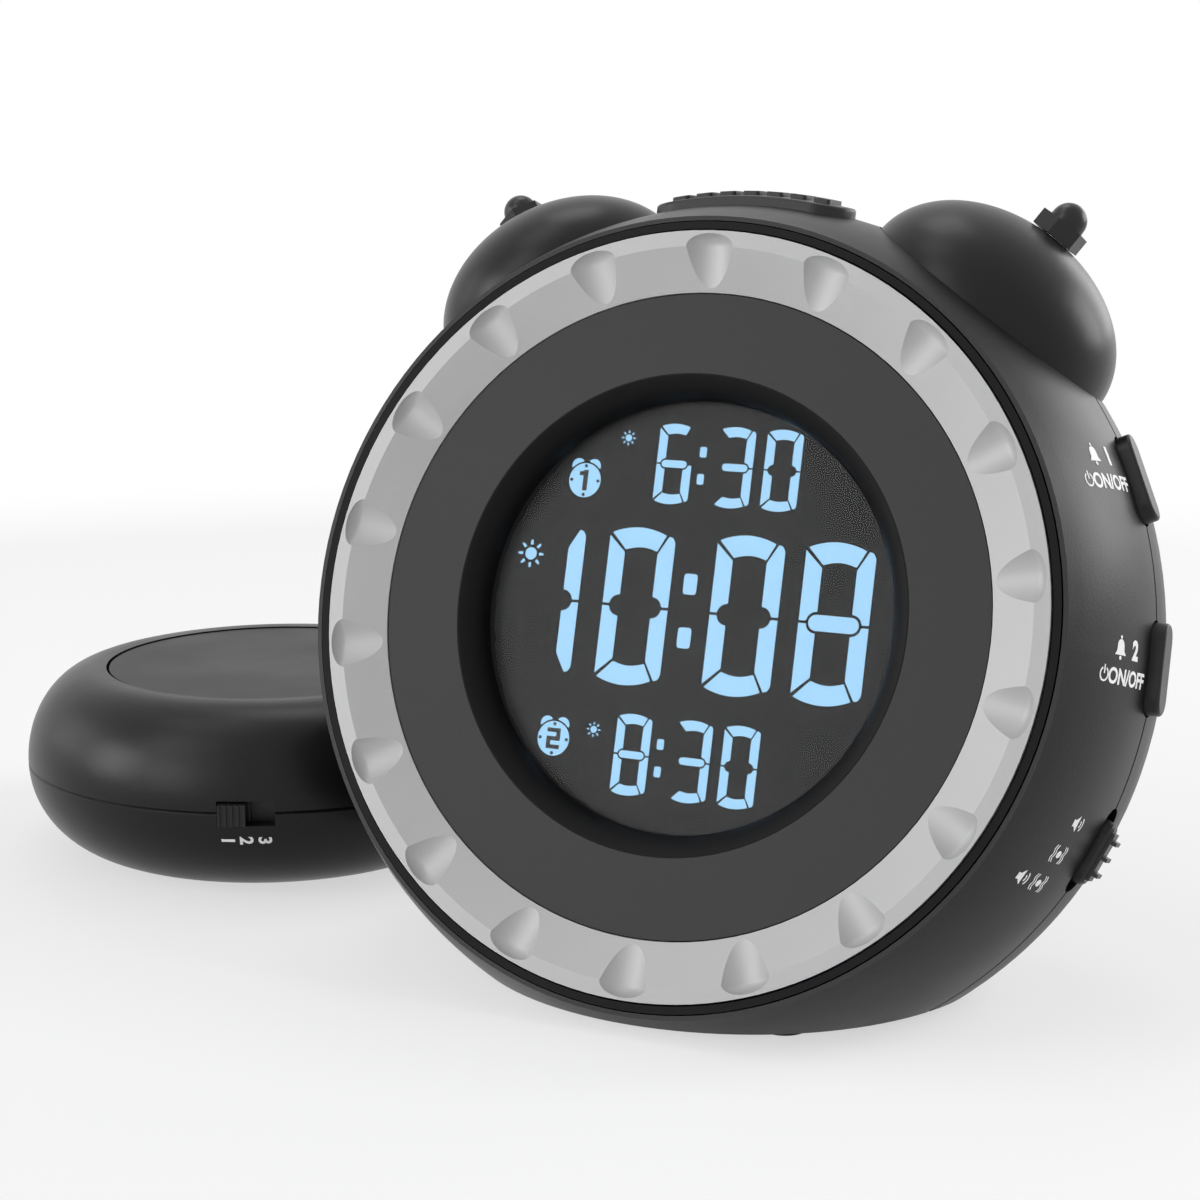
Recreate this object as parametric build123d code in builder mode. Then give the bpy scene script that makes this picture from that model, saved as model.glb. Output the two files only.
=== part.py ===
"""Bed shaker alarm clock: a leaning barrel clock with two domed bells, and its shaker puck.

The origin lies on the table, in the middle of the footprint that clock and puck share. X
runs to the right as seen from the front, Y runs backwards and Z upwards. Lengths are in
millimetres and angles in degrees. Depth is measured backwards from the face plane, along
the barrel.
"""
from build123d import *

import os
from math import asin, cos, degrees, radians, sin, sqrt

os.makedirs("parts", exist_ok=True)

# Where the two things stand
clock_side = 37.9
clock_back = -23.8
puck_side = -60.5
puck_back = 10.4

# Barrel
body_radius = 65.0
widest_depth = 29.0
front_swell = 61.3
back_round = 28.5
lean = 16.23
base_cut = 6.4
face_forward = 15.0
seam_depth = 25.2
wall = 2.2
foot_rise = 0.8
lip_depth = 0.5
seam_groove = 0.3

# Clearances
slide_gap = 0.3
seat_gap = 0.2
touch_gap = 0.05
shaft_gap = 0.05
overrun = 12.0

# Face: ring, plate, recess and window
ring_inset = 9.3
ring_band = 2.3
ring_slope_width = 6.3
ring_inner_depth = 2.65
scallop_count = 18
scallop_end_inset = 2.7
scallop_axis_rise = 3.4
scallop_radius = 5.0
scallop_cap = 2.67
scallop_tilt = 8.0
plate_sink = 0.15
plate_thickness = 1.2
rim_gap = 0.3
rim_width = 1.1
rim_depth = 0.3
panel_thickness = 1.2
recess_slope_width = 3.1
recess_sink = 4.6
recess_lip = 1.0
recess_bulge = 0.7
window_radius = 31.9
lens_hold = 1.1
lens_thickness = 1.5
pocket_wall = 1.5
ledge_inset = 13.0

# Display stack behind the window
lcd_size = 69.0
lcd_thickness = 2.4
guide_thickness = 3.0
frame_wall = 2.3
frame_back = 1.5
frame_window = 52.0
frame_post_radius = 2.5
frame_post_height = 2.0

# Boards
board_thickness = 1.6
board_clear = 2.0
board_flat = 40.0
chip_size = 14.0
chip_height = 1.7
capacitor_radius = 4.0
capacitor_height = 9.0
coil_radius = 5.0
coil_height = 5.5

# Bells
bell_angle = 35.0
bell_depth = 27.0
bell_radius = 20.85
bell_dome = 15.15
bell_skirt = 0.5
bell_skin = 1.3
bell_sink = 5.0
bell_pad_wall = 1.15
post_radius = 3.0
stud_radius = 1.6
stud_bite = 5.0
nut_flats = 7.1
nut_height = 2.6
nut_neck_radius = 2.8
nut_dome_radius = 2.75
nut_dome_centre = 3.2

# Snooze bar
snooze_depth = 16.2
snooze_length = 31.8
snooze_width = 11.2
snooze_corner = 5.3
snooze_rise = 1.4
snooze_edge = 0.5
snooze_flange = 1.4
snooze_flange_length = 29.0
snooze_skirt = 3.4
snooze_grip_count = 7
snooze_grip_length = 2.6
snooze_grip_width = 5.6
snooze_grip_corner = 0.5
snooze_grip_rise = 0.65
snooze_grip_pitch = 3.8
snooze_stem_radius = 2.5
snooze_stem_length = 9.1
snooze_plunger_gap = 1.7
snooze_plunger_rise = 1.3

# Side controls, evenly spaced round the seam
control_angle = 90.2
control_step = 24.3
control_length = 13.9
button_width = 6.0
button_rise = 1.6
button_edge = 0.5
button_flange = 1.0
button_flange_sink = 3.4
button_flange_side = 1.0
button_travel = 0.9
switch_width = 4.6
knob_length = 10.1
knob_ridge_length = 7.6
knob_ridge_width = 2.6
knob_ridge_rise = 0.5
knob_rib_width = 0.6
knob_rib_rise = 0.8
knob_rib_pitch = 2.6
knob_guide_length = 12.0
knob_guide_width = 7.0
carrier_inset = 10.0
carrier_thickness = 1.6
carrier_width = 7.0
carrier_start = 59.5
carrier_sweep = 61.5
carrier_foot_gap = 0.5
carrier_foot_sweep = 2.0
tact_size = 5.6
tact_height = 3.2
plunger_radius = 1.5
slider_body_length = 9.0
slider_body_height = 4.0

# Back of the clock
screw_inset = 11.5
screw_angles = (25.0, 130.0, 230.0, 335.0)
boss_radius = 3.2
screw_radius = 1.3
screw_head_radius = 2.4
screw_head_height = 1.8
screw_well_radius = 2.8
screw_seat_depth = 33.0
screw_bite = 8.0
speaker_height = 13.0
speaker_radius = 18.0
speaker_flange = 1.4
speaker_basket_depth = 9.0
speaker_basket_radius = 11.5
magnet_radius = 10.5
magnet_height = 6.0
cone_radius = 15.5
cone_throat = 4.5
cone_skin = 0.6
grille_radius = 14.5
grille_slot_width = 1.8
grille_pitch = 3.6
grille_rows = 8
rear_board_length = 66.0
rear_board_width = 22.0
rear_board_height = -18.5
rear_board_depth = 45.5
rear_button_height = -11.5
rear_button_pitch = 16.0
rear_button_radius = 3.2
rear_button_rise = 1.2
rear_button_flange = 4.2
rear_travel = 0.8
jack_height = -23.0
jack_pitch = 21.0
jack_size = 9.0
power_bore_radius = 2.8
power_pin_radius = 0.65
audio_bore_radius = 1.8
jack_nose_radius = 3.6
jack_bore_depth = 7.0
usb_width = 13.2
usb_height = 6.0
usb_shell = 0.5
usb_tongue_height = 1.8
usb_tongue_width = 10.0
wheel_side = 27.5
wheel_radius = 7.0
wheel_thickness = 4.0
wheel_proud = 2.0
wheel_bore = 1.5
wheel_slot_length = 13.8
wheel_notch_count = 20
wheel_notch_radius = 0.45
pot_height = 5.0
pot_width = 9.0
pot_length = 8.5

# Battery compartment under the clock
battery_radius = 5.25
battery_length = 44.5
battery_nub_radius = 1.9
battery_nub_height = 1.0
battery_gap = 0.2
box_front = -3.4
box_wall = 1.2
box_inner_length = 50.8
box_height = 13.0
door_thickness = 2.0
contact_thickness = 0.4
contact_height = 7.0
foot_radius = 3.5
foot_recess = 0.6
front_foot_side = 20.0
front_foot_back = -18.0
rear_foot_side = 31.5
rear_foot_back = 8.0

# Shaker puck
puck_radius = 44.0
puck_height = 32.2
puck_seam_height = 16.1
puck_top_flat = 31.5
puck_bottom_flat = 28.0
puck_wall = 2.0
puck_front = 25.9
puck_disc_radius = 29.3
puck_disc_thickness = 1.8
puck_disc_gap = 0.5
puck_disc_sink = 0.2
puck_ledge_radius = 26.0
puck_slot_height = 4.2
puck_knob_length = 4.6
puck_knob_rise = 0.9
puck_rib_count = 5
puck_rib_width = 0.45
puck_rib_rise = 0.35
puck_guide_length = 5.4
puck_guide_height = 5.6
puck_guide_thickness = 0.8
puck_slide = 4.4
puck_switch_length = 11.0
puck_switch_height = 5.0
puck_switch_depth = 4.5
puck_board_length = 22.0
puck_board_thickness = 1.2
motor_radius = 10.0
motor_length = 24.0
motor_height = 15.5
motor_shift = 7.0
motor_nose_radius = 3.0
motor_nose_length = 1.5
shaft_radius = 1.0
shaft_bore_depth = 3.0
weight_radius = 11.0
weight_thickness = 9.0
weight_hub_radius = 3.0
weight_clear = 1.0
cradle_width = 16.0
cradle_wall = 2.0
cradle_height = 12.0
inlet_radius = 3.2
inlet_flange_radius = 4.4
inlet_flange = 1.2
inlet_bore_radius = 1.9
inlet_depth = 5.0
puck_screw_ring = 30.0
puck_screw_count = 4
puck_screw_turn = 45.0
puck_boss_radius = 3.4
puck_screw_seat = 6.0
puck_screw_bite = 6.0

half = 0.5
quarter_turn = 90
face_height = body_radius - base_cut
back_depth = widest_depth + back_round
back_inner_depth = back_depth - wall
ring_radius = body_radius - ring_inset
ring_crest_radius = ring_radius - ring_band
ring_inner_radius = ring_crest_radius - ring_slope_width
plate_depth = ring_inner_depth + plate_sink
ring_seat_depth = plate_depth + plate_thickness
rim_radius = ring_radius + rim_gap + rim_width
recess_radius = window_radius + recess_slope_width
plate_inner_radius = recess_radius + seat_gap
window_depth = plate_depth + recess_sink
lens_radius = window_radius + lens_hold
ledge_radius = body_radius - ledge_inset
board_radius = ledge_radius - board_clear
screw_ring_radius = body_radius - screw_inset
bell_seat = body_radius - bell_sink
bell_base = bell_seat + bell_skirt
bell_recess_radius = bell_radius + slide_gap
bell_pad_radius = bell_recess_radius + bell_pad_wall
stud_root = bell_seat - stud_bite
snooze_stem_end = body_radius - snooze_skirt - snooze_stem_length
snooze_plunger_top = snooze_stem_end - snooze_plunger_gap
snooze_switch_top = snooze_plunger_top - snooze_plunger_rise
button_flange_height = body_radius - button_flange_sink
carrier_radius = body_radius - carrier_inset
carrier_foot_reach = body_radius - wall - carrier_foot_gap
ledge_front_depth = ring_seat_depth + panel_thickness
ledge_back_depth = ledge_front_depth + wall
lens_back_depth = window_depth + lens_thickness
lcd_front_depth = lens_back_depth + slide_gap
guide_front_depth = lcd_front_depth + lcd_thickness
guide_back_depth = guide_front_depth + guide_thickness
frame_back_depth = guide_back_depth + frame_back
board_front_depth = frame_back_depth + frame_post_height
board_back_depth = board_front_depth + board_thickness
rear_board_back = rear_board_depth + board_thickness

table_plane = Plane((clock_side, clock_back, 0))
base_plane = table_plane.offset(foot_rise)
face_plane = Plane(
    origin=(clock_side, clock_back - face_forward, face_height),
    x_dir=(1, 0, 0),
    z_dir=(0, -cos(radians(lean)), sin(radians(lean))),
)
puck_plane = Plane(
    origin=(puck_side, puck_back, 0),
    x_dir=(cos(radians(puck_front)), sin(radians(puck_front)), 0),
    z_dir=(0, 0, 1),
)


def upright(plane):
    """Section plane through a plane's z axis: its x is the radius and its y the height."""
    return Plane(origin=plane.origin, x_dir=plane.x_dir, z_dir=-plane.y_dir)


def at_depth(depth):
    """Plane across the barrel at a depth behind the face, facing forwards."""
    return face_plane.offset(-depth)


def back_plane(depth, side=0, height=0):
    """Plane across the barrel that faces backwards: x runs to the left, y upwards."""
    across = at_depth(depth)
    origin = across.origin + across.x_dir * side + across.y_dir * height
    return Plane(origin=origin, x_dir=-across.x_dir, z_dir=-across.z_dir)


def radial_plane(angle, height, depth):
    """Plane that faces outwards from the barrel's axis: x runs clockwise, y backwards."""
    turn = radians(angle)
    outward = face_plane.x_dir * sin(turn) + face_plane.y_dir * cos(turn)
    sideways = face_plane.x_dir * cos(turn) - face_plane.y_dir * sin(turn)
    origin = face_plane.origin - face_plane.z_dir * depth + outward * height
    return Plane(origin=origin, x_dir=sideways, z_dir=outward)


def puck_wall_plane(radius, height):
    """Plane in the puck's front wall that faces outwards: x runs to the right, y upwards."""
    outward = -puck_plane.y_dir
    origin = puck_plane.origin + outward * radius + puck_plane.z_dir * height
    return Plane(origin=origin, x_dir=puck_plane.x_dir, z_dir=outward)


def turned(plane, outline):
    """A piece turned about a plane's z axis from its closed (radius, height) outline."""
    with BuildPart() as piece:
        with BuildSketch(upright(plane)):
            with BuildLine():
                Polyline(*outline, close=True)
            make_face()
        revolve(axis=Axis(plane.origin, plane.z_dir))
    return piece.part


def disc(plane, radius, height):
    """A round solid that stands on a plane."""
    with BuildPart() as piece:
        with BuildSketch(plane):
            Circle(radius)
        extrude(amount=height)
    return piece.part


def block(plane, length, width, height):
    """A rectangular solid that stands centred on a plane."""
    with BuildPart() as piece:
        with BuildSketch(plane):
            Rectangle(length, width)
        extrude(amount=height)
    return piece.part


def pill(plane, length, width, height):
    """A solid with round ends that stands centred on a plane, its length along x."""
    with BuildPart() as piece:
        with BuildSketch(plane):
            SlotOverall(length, width)
        extrude(amount=height)
    return piece.part


def barrel(inset, front_depth):
    """The barrel turned as one solid and cut flat by the base, with its skin moved inwards."""
    swell = front_swell - inset
    rounding = back_round - inset
    rise = degrees(asin((widest_depth - front_depth) / swell))
    with BuildPart() as body:
        with BuildSketch(upright(face_plane)):
            with BuildLine():
                swell_centre = (body_radius - front_swell, -widest_depth)
                round_centre = (body_radius - back_round, -widest_depth)
                front_arc = CenterArc(swell_centre, swell, 0, rise)
                back_arc = CenterArc(round_centre, rounding, -quarter_turn, quarter_turn)
                axis_back = (0, -widest_depth - rounding)
                Polyline(back_arc @ 0, axis_back, (0, -front_depth), front_arc @ 1)
            make_face()
        revolve(axis=Axis(face_plane.origin, face_plane.z_dir))
        split(bisect_by=base_plane.offset(inset), keep=Keep.TOP)
    return body.part


def bell_pockets(radius, floor):
    """Both cylinders along the bells' axes that start at a height from the barrel's axis."""
    with BuildPart() as pockets:
        for angle in (-bell_angle, bell_angle):
            add(disc(radial_plane(angle, floor, bell_depth), radius, overrun))
    return pockets.part


def screw_columns(radius, front_depth, rear_depth):
    """The four columns of one radius that run backwards between two depths."""
    with BuildPart() as columns:
        with BuildSketch(at_depth(front_depth)):
            for angle in screw_angles:
                turn = radians(angle)
                with Locations((screw_ring_radius * sin(turn), screw_ring_radius * cos(turn))):
                    Circle(radius)
        extrude(amount=front_depth - rear_depth)
    return columns.part


with BuildPart() as cavity:
    add(barrel(wall, ledge_back_depth))
    add(bell_pockets(bell_pad_radius, bell_seat - wall), mode=Mode.SUBTRACT)

with BuildPart() as shell:
    add(barrel(0, lip_depth))
    add(cavity.part, mode=Mode.SUBTRACT)
    add(bell_pockets(bell_recess_radius, bell_seat), mode=Mode.SUBTRACT)
    seam_radius = body_radius - front_swell + sqrt(front_swell**2 - (widest_depth - seam_depth) ** 2)
    seam_mark = [
        (seam_radius - seam_groove, -seam_depth),
        (seam_radius + seam_groove, -seam_depth - seam_groove - seam_groove),
        (seam_radius + seam_groove, -seam_depth + seam_groove + seam_groove),
    ]
    add(turned(face_plane, seam_mark), mode=Mode.SUBTRACT)
    snooze_mouth = radial_plane(0, snooze_stem_end, snooze_depth)
    with BuildSketch(snooze_mouth):
        RectangleRounded(snooze_length, snooze_width, snooze_corner)
    extrude(amount=overrun + overrun, mode=Mode.SUBTRACT)
    for step in (-1, 0):
        mouth = radial_plane(control_angle + step * control_step, carrier_radius, seam_depth)
        add(pill(mouth, control_length, button_width, overrun), mode=Mode.SUBTRACT)
    switch_mouth = radial_plane(control_angle + control_step, carrier_radius, seam_depth)
    add(pill(switch_mouth, control_length, switch_width, overrun), mode=Mode.SUBTRACT)

# Case halves
with BuildPart() as front_case:
    add(shell.part)
    split(bisect_by=at_depth(seam_depth), keep=Keep.TOP)
    add(screw_columns(boss_radius, ledge_back_depth, seam_depth))
    add(disc(at_depth(ledge_front_depth), rim_radius + seat_gap, overrun), mode=Mode.SUBTRACT)
    with BuildSketch(at_depth(ledge_back_depth)):
        Circle(ledge_radius)
    extrude(amount=wall, mode=Mode.SUBTRACT)
    with BuildSketch(base_plane):
        with Locations((-front_foot_side, front_foot_back), (front_foot_side, front_foot_back)):
            Circle(foot_radius + touch_gap)
    extrude(amount=foot_recess, mode=Mode.SUBTRACT)
    bore_start = seam_depth - screw_bite
    add(screw_columns(screw_radius + touch_gap, bore_start, seam_depth), mode=Mode.SUBTRACT)

door_width = box_inner_length - slide_gap
door_front = box_front + box_wall
box_depth = 4 * battery_radius + battery_gap + battery_gap
door_run = overrun + box_depth + overrun

with BuildPart() as door_channel:
    channel_middle = (0, door_front + half * door_run)
    with BuildSketch(base_plane.offset(-overrun)):
        with Locations(channel_middle):
            Rectangle(box_inner_length, door_run)
    extrude(amount=overrun + wall)

with BuildPart() as rear_posts:
    add(screw_columns(boss_radius, seam_depth, back_inner_depth))
    for angle in (-bell_angle, bell_angle):
        root = radial_plane(angle, stud_root, bell_depth)
        add(disc(root, post_radius + wall, bell_seat - stud_root - half * wall))
    split(bisect_by=at_depth(seam_depth), keep=Keep.BOTTOM)
    add(barrel(half * wall, ledge_back_depth), mode=Mode.INTERSECT)

with BuildPart() as rear_cover:
    add(shell.part)
    split(bisect_by=at_depth(seam_depth), keep=Keep.BOTTOM)
    add(rear_posts.part)
    well_depth = screw_seat_depth
    wells = screw_columns(screw_well_radius, well_depth, back_depth + overrun)
    add(wells, mode=Mode.SUBTRACT)
    bores = screw_columns(screw_radius + touch_gap, seam_depth, well_depth)
    add(bores, mode=Mode.SUBTRACT)
    for angle in (-bell_angle, bell_angle):
        root = radial_plane(angle, stud_root, bell_depth)
        add(disc(root, stud_radius, overrun), mode=Mode.SUBTRACT)
    grille_middle = back_plane(back_depth + overrun, 0, speaker_height)
    with BuildSketch(grille_middle):
        for row in range(grille_rows):
            rise = (row - half * (grille_rows - 1)) * grille_pitch
            chord = 2 * sqrt(grille_radius**2 - rise**2)
            with Locations((0, rise)):
                SlotOverall(chord, grille_slot_width)
    extrude(amount=-overrun - wall - slide_gap, mode=Mode.SUBTRACT)
    with BuildSketch(back_plane(back_depth + overrun)):
        for place in range(4):
            side = (place - 2 + half) * rear_button_pitch
            with Locations((side, rear_button_height)):
                Circle(rear_button_radius + slide_gap)
        with Locations((-jack_pitch, jack_height), (jack_pitch, jack_height)):
            Circle(jack_nose_radius + touch_gap)
        with Locations((0, jack_height)):
            Rectangle(usb_width + seat_gap, usb_height + seat_gap)
        with Locations((-wheel_side, speaker_height), (wheel_side, speaker_height)):
            Rectangle(wheel_slot_length, wheel_thickness + slide_gap + slide_gap)
    extrude(amount=-overrun - wall - slide_gap, mode=Mode.SUBTRACT)
    add(door_channel.part, mode=Mode.SUBTRACT)
    with BuildSketch(base_plane):
        with Locations((-rear_foot_side, rear_foot_back), (rear_foot_side, rear_foot_back)):
            Circle(foot_radius + touch_gap)
    extrude(amount=foot_recess, mode=Mode.SUBTRACT)

with BuildPart() as rubber_feet:
    with BuildSketch(table_plane):
        with Locations(
            (-front_foot_side, front_foot_back),
            (front_foot_side, front_foot_back),
            (-rear_foot_side, rear_foot_back),
            (rear_foot_side, rear_foot_back),
        ):
            Circle(foot_radius)
    extrude(amount=foot_rise + foot_recess)

with BuildPart() as case_screws:
    add(screw_columns(screw_head_radius, screw_seat_depth, screw_seat_depth + screw_head_height))
    add(screw_columns(screw_radius, seam_depth - screw_bite, screw_seat_depth))

# Face
def scoop(angle):
    """The round-ended cutter of one dimple in the ring, lying along the ring's radius."""
    across = radial_plane(angle, ring_radius - scallop_end_inset, -scallop_axis_rise)
    tilt = radians(scallop_tilt)
    along = across.z_dir * cos(tilt) - across.y_dir * sin(tilt)
    side = Plane(origin=across.origin, x_dir=along, z_dir=across.x_dir)
    with BuildPart() as cutter:
        with BuildSketch(side):
            with BuildLine():
                cap = EllipticalCenterArc(
                    (0, 0), scallop_cap, scallop_radius, -quarter_turn, arc_size=quarter_turn
                )
                Polyline(cap @ 0, (-overrun, -scallop_radius), (-overrun, 0), cap @ 1)
            make_face()
        revolve(axis=Axis(side.origin, side.x_dir))
    return cutter.part


with BuildPart() as bezel_ring:
    ring_outline = [
        (ring_inner_radius, -ring_seat_depth),
        (ring_radius, -ring_seat_depth),
        (ring_radius, 0),
        (ring_crest_radius, 0),
        (ring_inner_radius, -ring_inner_depth),
    ]
    add(turned(face_plane, ring_outline))
    for place in range(scallop_count):
        add(scoop(4 * quarter_turn * place / scallop_count), mode=Mode.SUBTRACT)

with BuildPart() as face_plate:
    plate_outer_radius = ring_inner_radius - seat_gap
    plate_outline = [
        (plate_inner_radius, -plate_depth),
        (plate_outer_radius, -plate_depth),
        (plate_outer_radius, -ring_seat_depth),
        (plate_inner_radius, -ring_seat_depth),
    ]
    add(turned(face_plane, plate_outline))

with BuildPart() as front_panel:
    with BuildSketch(upright(face_plane)):
        with BuildLine():
            lip_top = (recess_radius, -plate_depth)
            lip_foot = (window_radius, -window_depth)
            bulge = (
                half * (recess_radius + window_radius) - recess_bulge,
                -half * (plate_depth + window_depth) + recess_bulge,
            )
            ThreePointArc(lip_foot, bulge, lip_top)
            collar_radius = lens_radius + touch_gap
            collar_outer = collar_radius + pocket_wall
            plate_seat = plate_inner_radius - touch_gap
            Polyline(
                lip_top,
                (plate_seat, -plate_depth),
                (plate_seat, -ring_seat_depth),
                (rim_radius - rim_width, -ring_seat_depth),
                (rim_radius - rim_width, -rim_depth),
                (rim_radius, -rim_depth),
                (rim_radius, -ledge_front_depth),
                (plate_inner_radius + recess_lip, -ledge_front_depth),
                (collar_outer, -window_depth),
                (collar_outer, -lcd_front_depth),
                (collar_radius, -lcd_front_depth),
                (collar_radius, -window_depth),
                lip_foot,
            )
        make_face()
    revolve(axis=Axis(face_plane.origin, face_plane.z_dir))

with BuildPart() as display_lens:
    add(disc(at_depth(lens_back_depth), lens_radius, lens_thickness))

# Display stack
with BuildPart() as lcd_panel:
    add(block(at_depth(guide_front_depth), lcd_size, lcd_size, lcd_thickness))

with BuildPart() as light_guide:
    add(block(at_depth(guide_back_depth), lcd_size, lcd_size, guide_thickness))

with BuildPart() as lcd_frame:
    frame_size = lcd_size + frame_wall + frame_wall
    pocket_size = lcd_size + seat_gap
    frame_height = frame_back_depth - lcd_front_depth - half * lcd_thickness
    add(block(at_depth(frame_back_depth), frame_size, frame_size, frame_height))
    add(block(at_depth(guide_back_depth), pocket_size, pocket_size, overrun), mode=Mode.SUBTRACT)
    window_floor = at_depth(frame_back_depth + overrun)
    window_height = overrun + overrun
    add(block(window_floor, frame_window, frame_window, window_height), mode=Mode.SUBTRACT)
    post_pitch = half * (frame_size + frame_window)
    with BuildSketch(at_depth(frame_back_depth)):
        with GridLocations(post_pitch, post_pitch, 2, 2):
            Circle(frame_post_radius)
    extrude(amount=-frame_post_height)

# Main board
with BuildPart() as main_board:
    with BuildSketch(at_depth(board_back_depth)):
        Circle(board_radius)
        with Locations((0, -board_flat - half * board_radius)):
            Rectangle(2 * board_radius, board_radius, mode=Mode.SUBTRACT)
    extrude(amount=board_thickness)

with BuildPart() as board_parts:
    on_board = back_plane(board_back_depth)
    with BuildSketch(on_board):
        with Locations((-chip_size, 0), (chip_size, chip_size)):
            Rectangle(chip_size, chip_size)
    extrude(amount=chip_height)
    with BuildSketch(on_board):
        with GridLocations(3 * capacitor_radius, 0, 3, 1):
            with Locations((0, -chip_size)):
                Circle(capacitor_radius)
    extrude(amount=capacitor_height)
    with BuildSketch(on_board):
        with Locations((-2 * chip_size, chip_size)):
            Circle(coil_radius)
    extrude(amount=coil_height)

# Bells
def bell(angle):
    """One hollow dome with its stud hole, standing on the barrel at an angle from the top."""
    foot = radial_plane(angle, 0, bell_depth)
    with BuildPart() as dome:
        with BuildSketch(upright(foot)):
            with BuildLine():
                middle = (0, bell_base)
                outer = EllipticalCenterArc(middle, bell_radius, bell_dome, 0, arc_size=quarter_turn)
                inner_radius = bell_radius - bell_skin
                inner_dome = bell_dome - bell_skin
                inner = EllipticalCenterArc(middle, inner_radius, inner_dome, 0, arc_size=quarter_turn)
                rim_height = bell_seat + seat_gap
                Line(outer @ 1, inner @ 1)
                Polyline(inner @ 0, (inner_radius, rim_height), (bell_radius, rim_height), outer @ 0)
            make_face()
        revolve(axis=Axis(foot.origin, foot.z_dir))
        add(disc(foot, stud_radius + touch_gap, bell_base + bell_dome + overrun), mode=Mode.SUBTRACT)
    return dome


left_bell = bell(-bell_angle)
right_bell = bell(bell_angle)

bell_top = bell_base + bell_dome
post_top = bell_base + (bell_dome - bell_skin) * sqrt(1 - (post_radius / (bell_radius - bell_skin)) ** 2)

with BuildPart() as bell_posts:
    for angle in (-bell_angle, bell_angle):
        foot = radial_plane(angle, bell_seat, bell_depth)
        add(disc(foot, post_radius, post_top - bell_seat))
        root = radial_plane(angle, stud_root, bell_depth)
        add(disc(root, stud_radius, bell_top + nut_height - stud_root))

with BuildPart() as bell_nuts:
    for angle in (-bell_angle, bell_angle):
        top = radial_plane(angle, bell_top, bell_depth)
        with BuildSketch(top):
            RegularPolygon(half * nut_flats, 6, major_radius=False, rotation=30)
        extrude(amount=nut_height)
        neck = [
            (0, nut_height),
            (nut_neck_radius, nut_height),
            (nut_dome_radius, nut_dome_centre),
            (0, nut_dome_centre),
        ]
        add(turned(top, neck))
        with Locations(top.offset(nut_dome_centre)):
            Sphere(nut_dome_radius)
        add(disc(top, stud_radius + shaft_gap, nut_height + touch_gap), mode=Mode.SUBTRACT)
        well = radial_plane(angle, 0, bell_depth)
        add(disc(well, nut_flats, bell_top - touch_gap), mode=Mode.SUBTRACT)

# Snooze bar
def crowned(plane, length, width, corner, upper, lower):
    """A rounded block whose top and bottom follow the barrel's skin."""
    with BuildPart() as piece:
        with BuildSketch(plane):
            RectangleRounded(length, width, corner)
        extrude(amount=overrun + overrun)
        add(barrel(upper, ledge_back_depth), mode=Mode.INTERSECT)
        add(barrel(lower, ledge_back_depth), mode=Mode.SUBTRACT)
    return piece.part


with BuildPart() as snooze_grips:
    with BuildSketch(snooze_mouth):
        with GridLocations(snooze_grip_pitch, 0, snooze_grip_count, 1):
            RectangleRounded(snooze_grip_length, snooze_grip_width, snooze_grip_corner)
    extrude(amount=overrun + overrun)
    add(barrel(-snooze_rise - snooze_grip_rise, ledge_back_depth), mode=Mode.INTERSECT)
    add(barrel(0, ledge_back_depth), mode=Mode.SUBTRACT)

with BuildPart() as snooze_button:
    bar_length = snooze_length - slide_gap - slide_gap
    bar_width = snooze_width - slide_gap - slide_gap
    bar_corner = snooze_corner - slide_gap
    flange_width = snooze_width + snooze_flange + snooze_flange
    flange_top = wall + slide_gap
    add(crowned(snooze_mouth, bar_length, bar_width, bar_corner, -snooze_rise, snooze_skirt))
    bar_top = snooze_button.faces().sort_by(Axis(snooze_mouth.origin, snooze_mouth.z_dir))[-1]
    fillet(bar_top.edges(), snooze_edge)
    add(crowned(snooze_mouth, snooze_flange_length, flange_width, bar_corner, flange_top, snooze_skirt))
    add(snooze_grips.part)
    add(disc(snooze_mouth, snooze_stem_radius, snooze_stem_length))

with BuildPart() as snooze_switch:
    switch_depth = 2 * (board_front_depth - snooze_depth)
    switch_foot = radial_plane(0, snooze_switch_top, snooze_depth)
    add(block(switch_foot, tact_size, switch_depth, -tact_size))
    add(disc(switch_foot, plunger_radius, snooze_plunger_rise))

# Side controls
def side_button(angle):
    """A push button with round ends that stands out of the barrel's seam."""
    with BuildPart() as button:
        flange_foot = radial_plane(angle, button_flange_height - button_flange, seam_depth)
        length = control_length - slide_gap - slide_gap
        width = button_width - slide_gap - slide_gap
        height = body_radius + button_rise - button_flange_height + button_flange
        add(pill(flange_foot, length, width, height))
        fillet(button.faces().sort_by(Axis(flange_foot.origin, flange_foot.z_dir))[-1].edges(), button_edge)
        flange_length = control_length + button_flange_side
        flange_width = button_width + button_flange_side + button_flange_side
        add(pill(flange_foot, flange_length, flange_width, button_flange))
    return button


alarm_1_button = side_button(control_angle - control_step)
alarm_2_button = side_button(control_angle)

carrier_outer = carrier_radius + touch_gap
with BuildPart() as switch_carrier:
    band_start = seam_depth + half * carrier_width
    with BuildSketch(at_depth(band_start)):
        with BuildLine():
            first = quarter_turn - carrier_start
            outer_arc = CenterArc((0, 0), carrier_radius, first, -carrier_sweep)
            inner_arc = CenterArc((0, 0), carrier_radius - carrier_thickness, first, -carrier_sweep)
            Line(outer_arc @ 0, inner_arc @ 0)
            Line(outer_arc @ 1, inner_arc @ 1)
        make_face()
    extrude(amount=carrier_width)
    for step in (-half, half):
        foot_start = carrier_radius - half * carrier_thickness
        foot = radial_plane(control_angle + step * control_step, foot_start, seam_depth)
        foot_reach = carrier_foot_reach - carrier_radius + half * carrier_thickness
        add(block(foot, carrier_foot_sweep, carrier_width, foot_reach))

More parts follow.
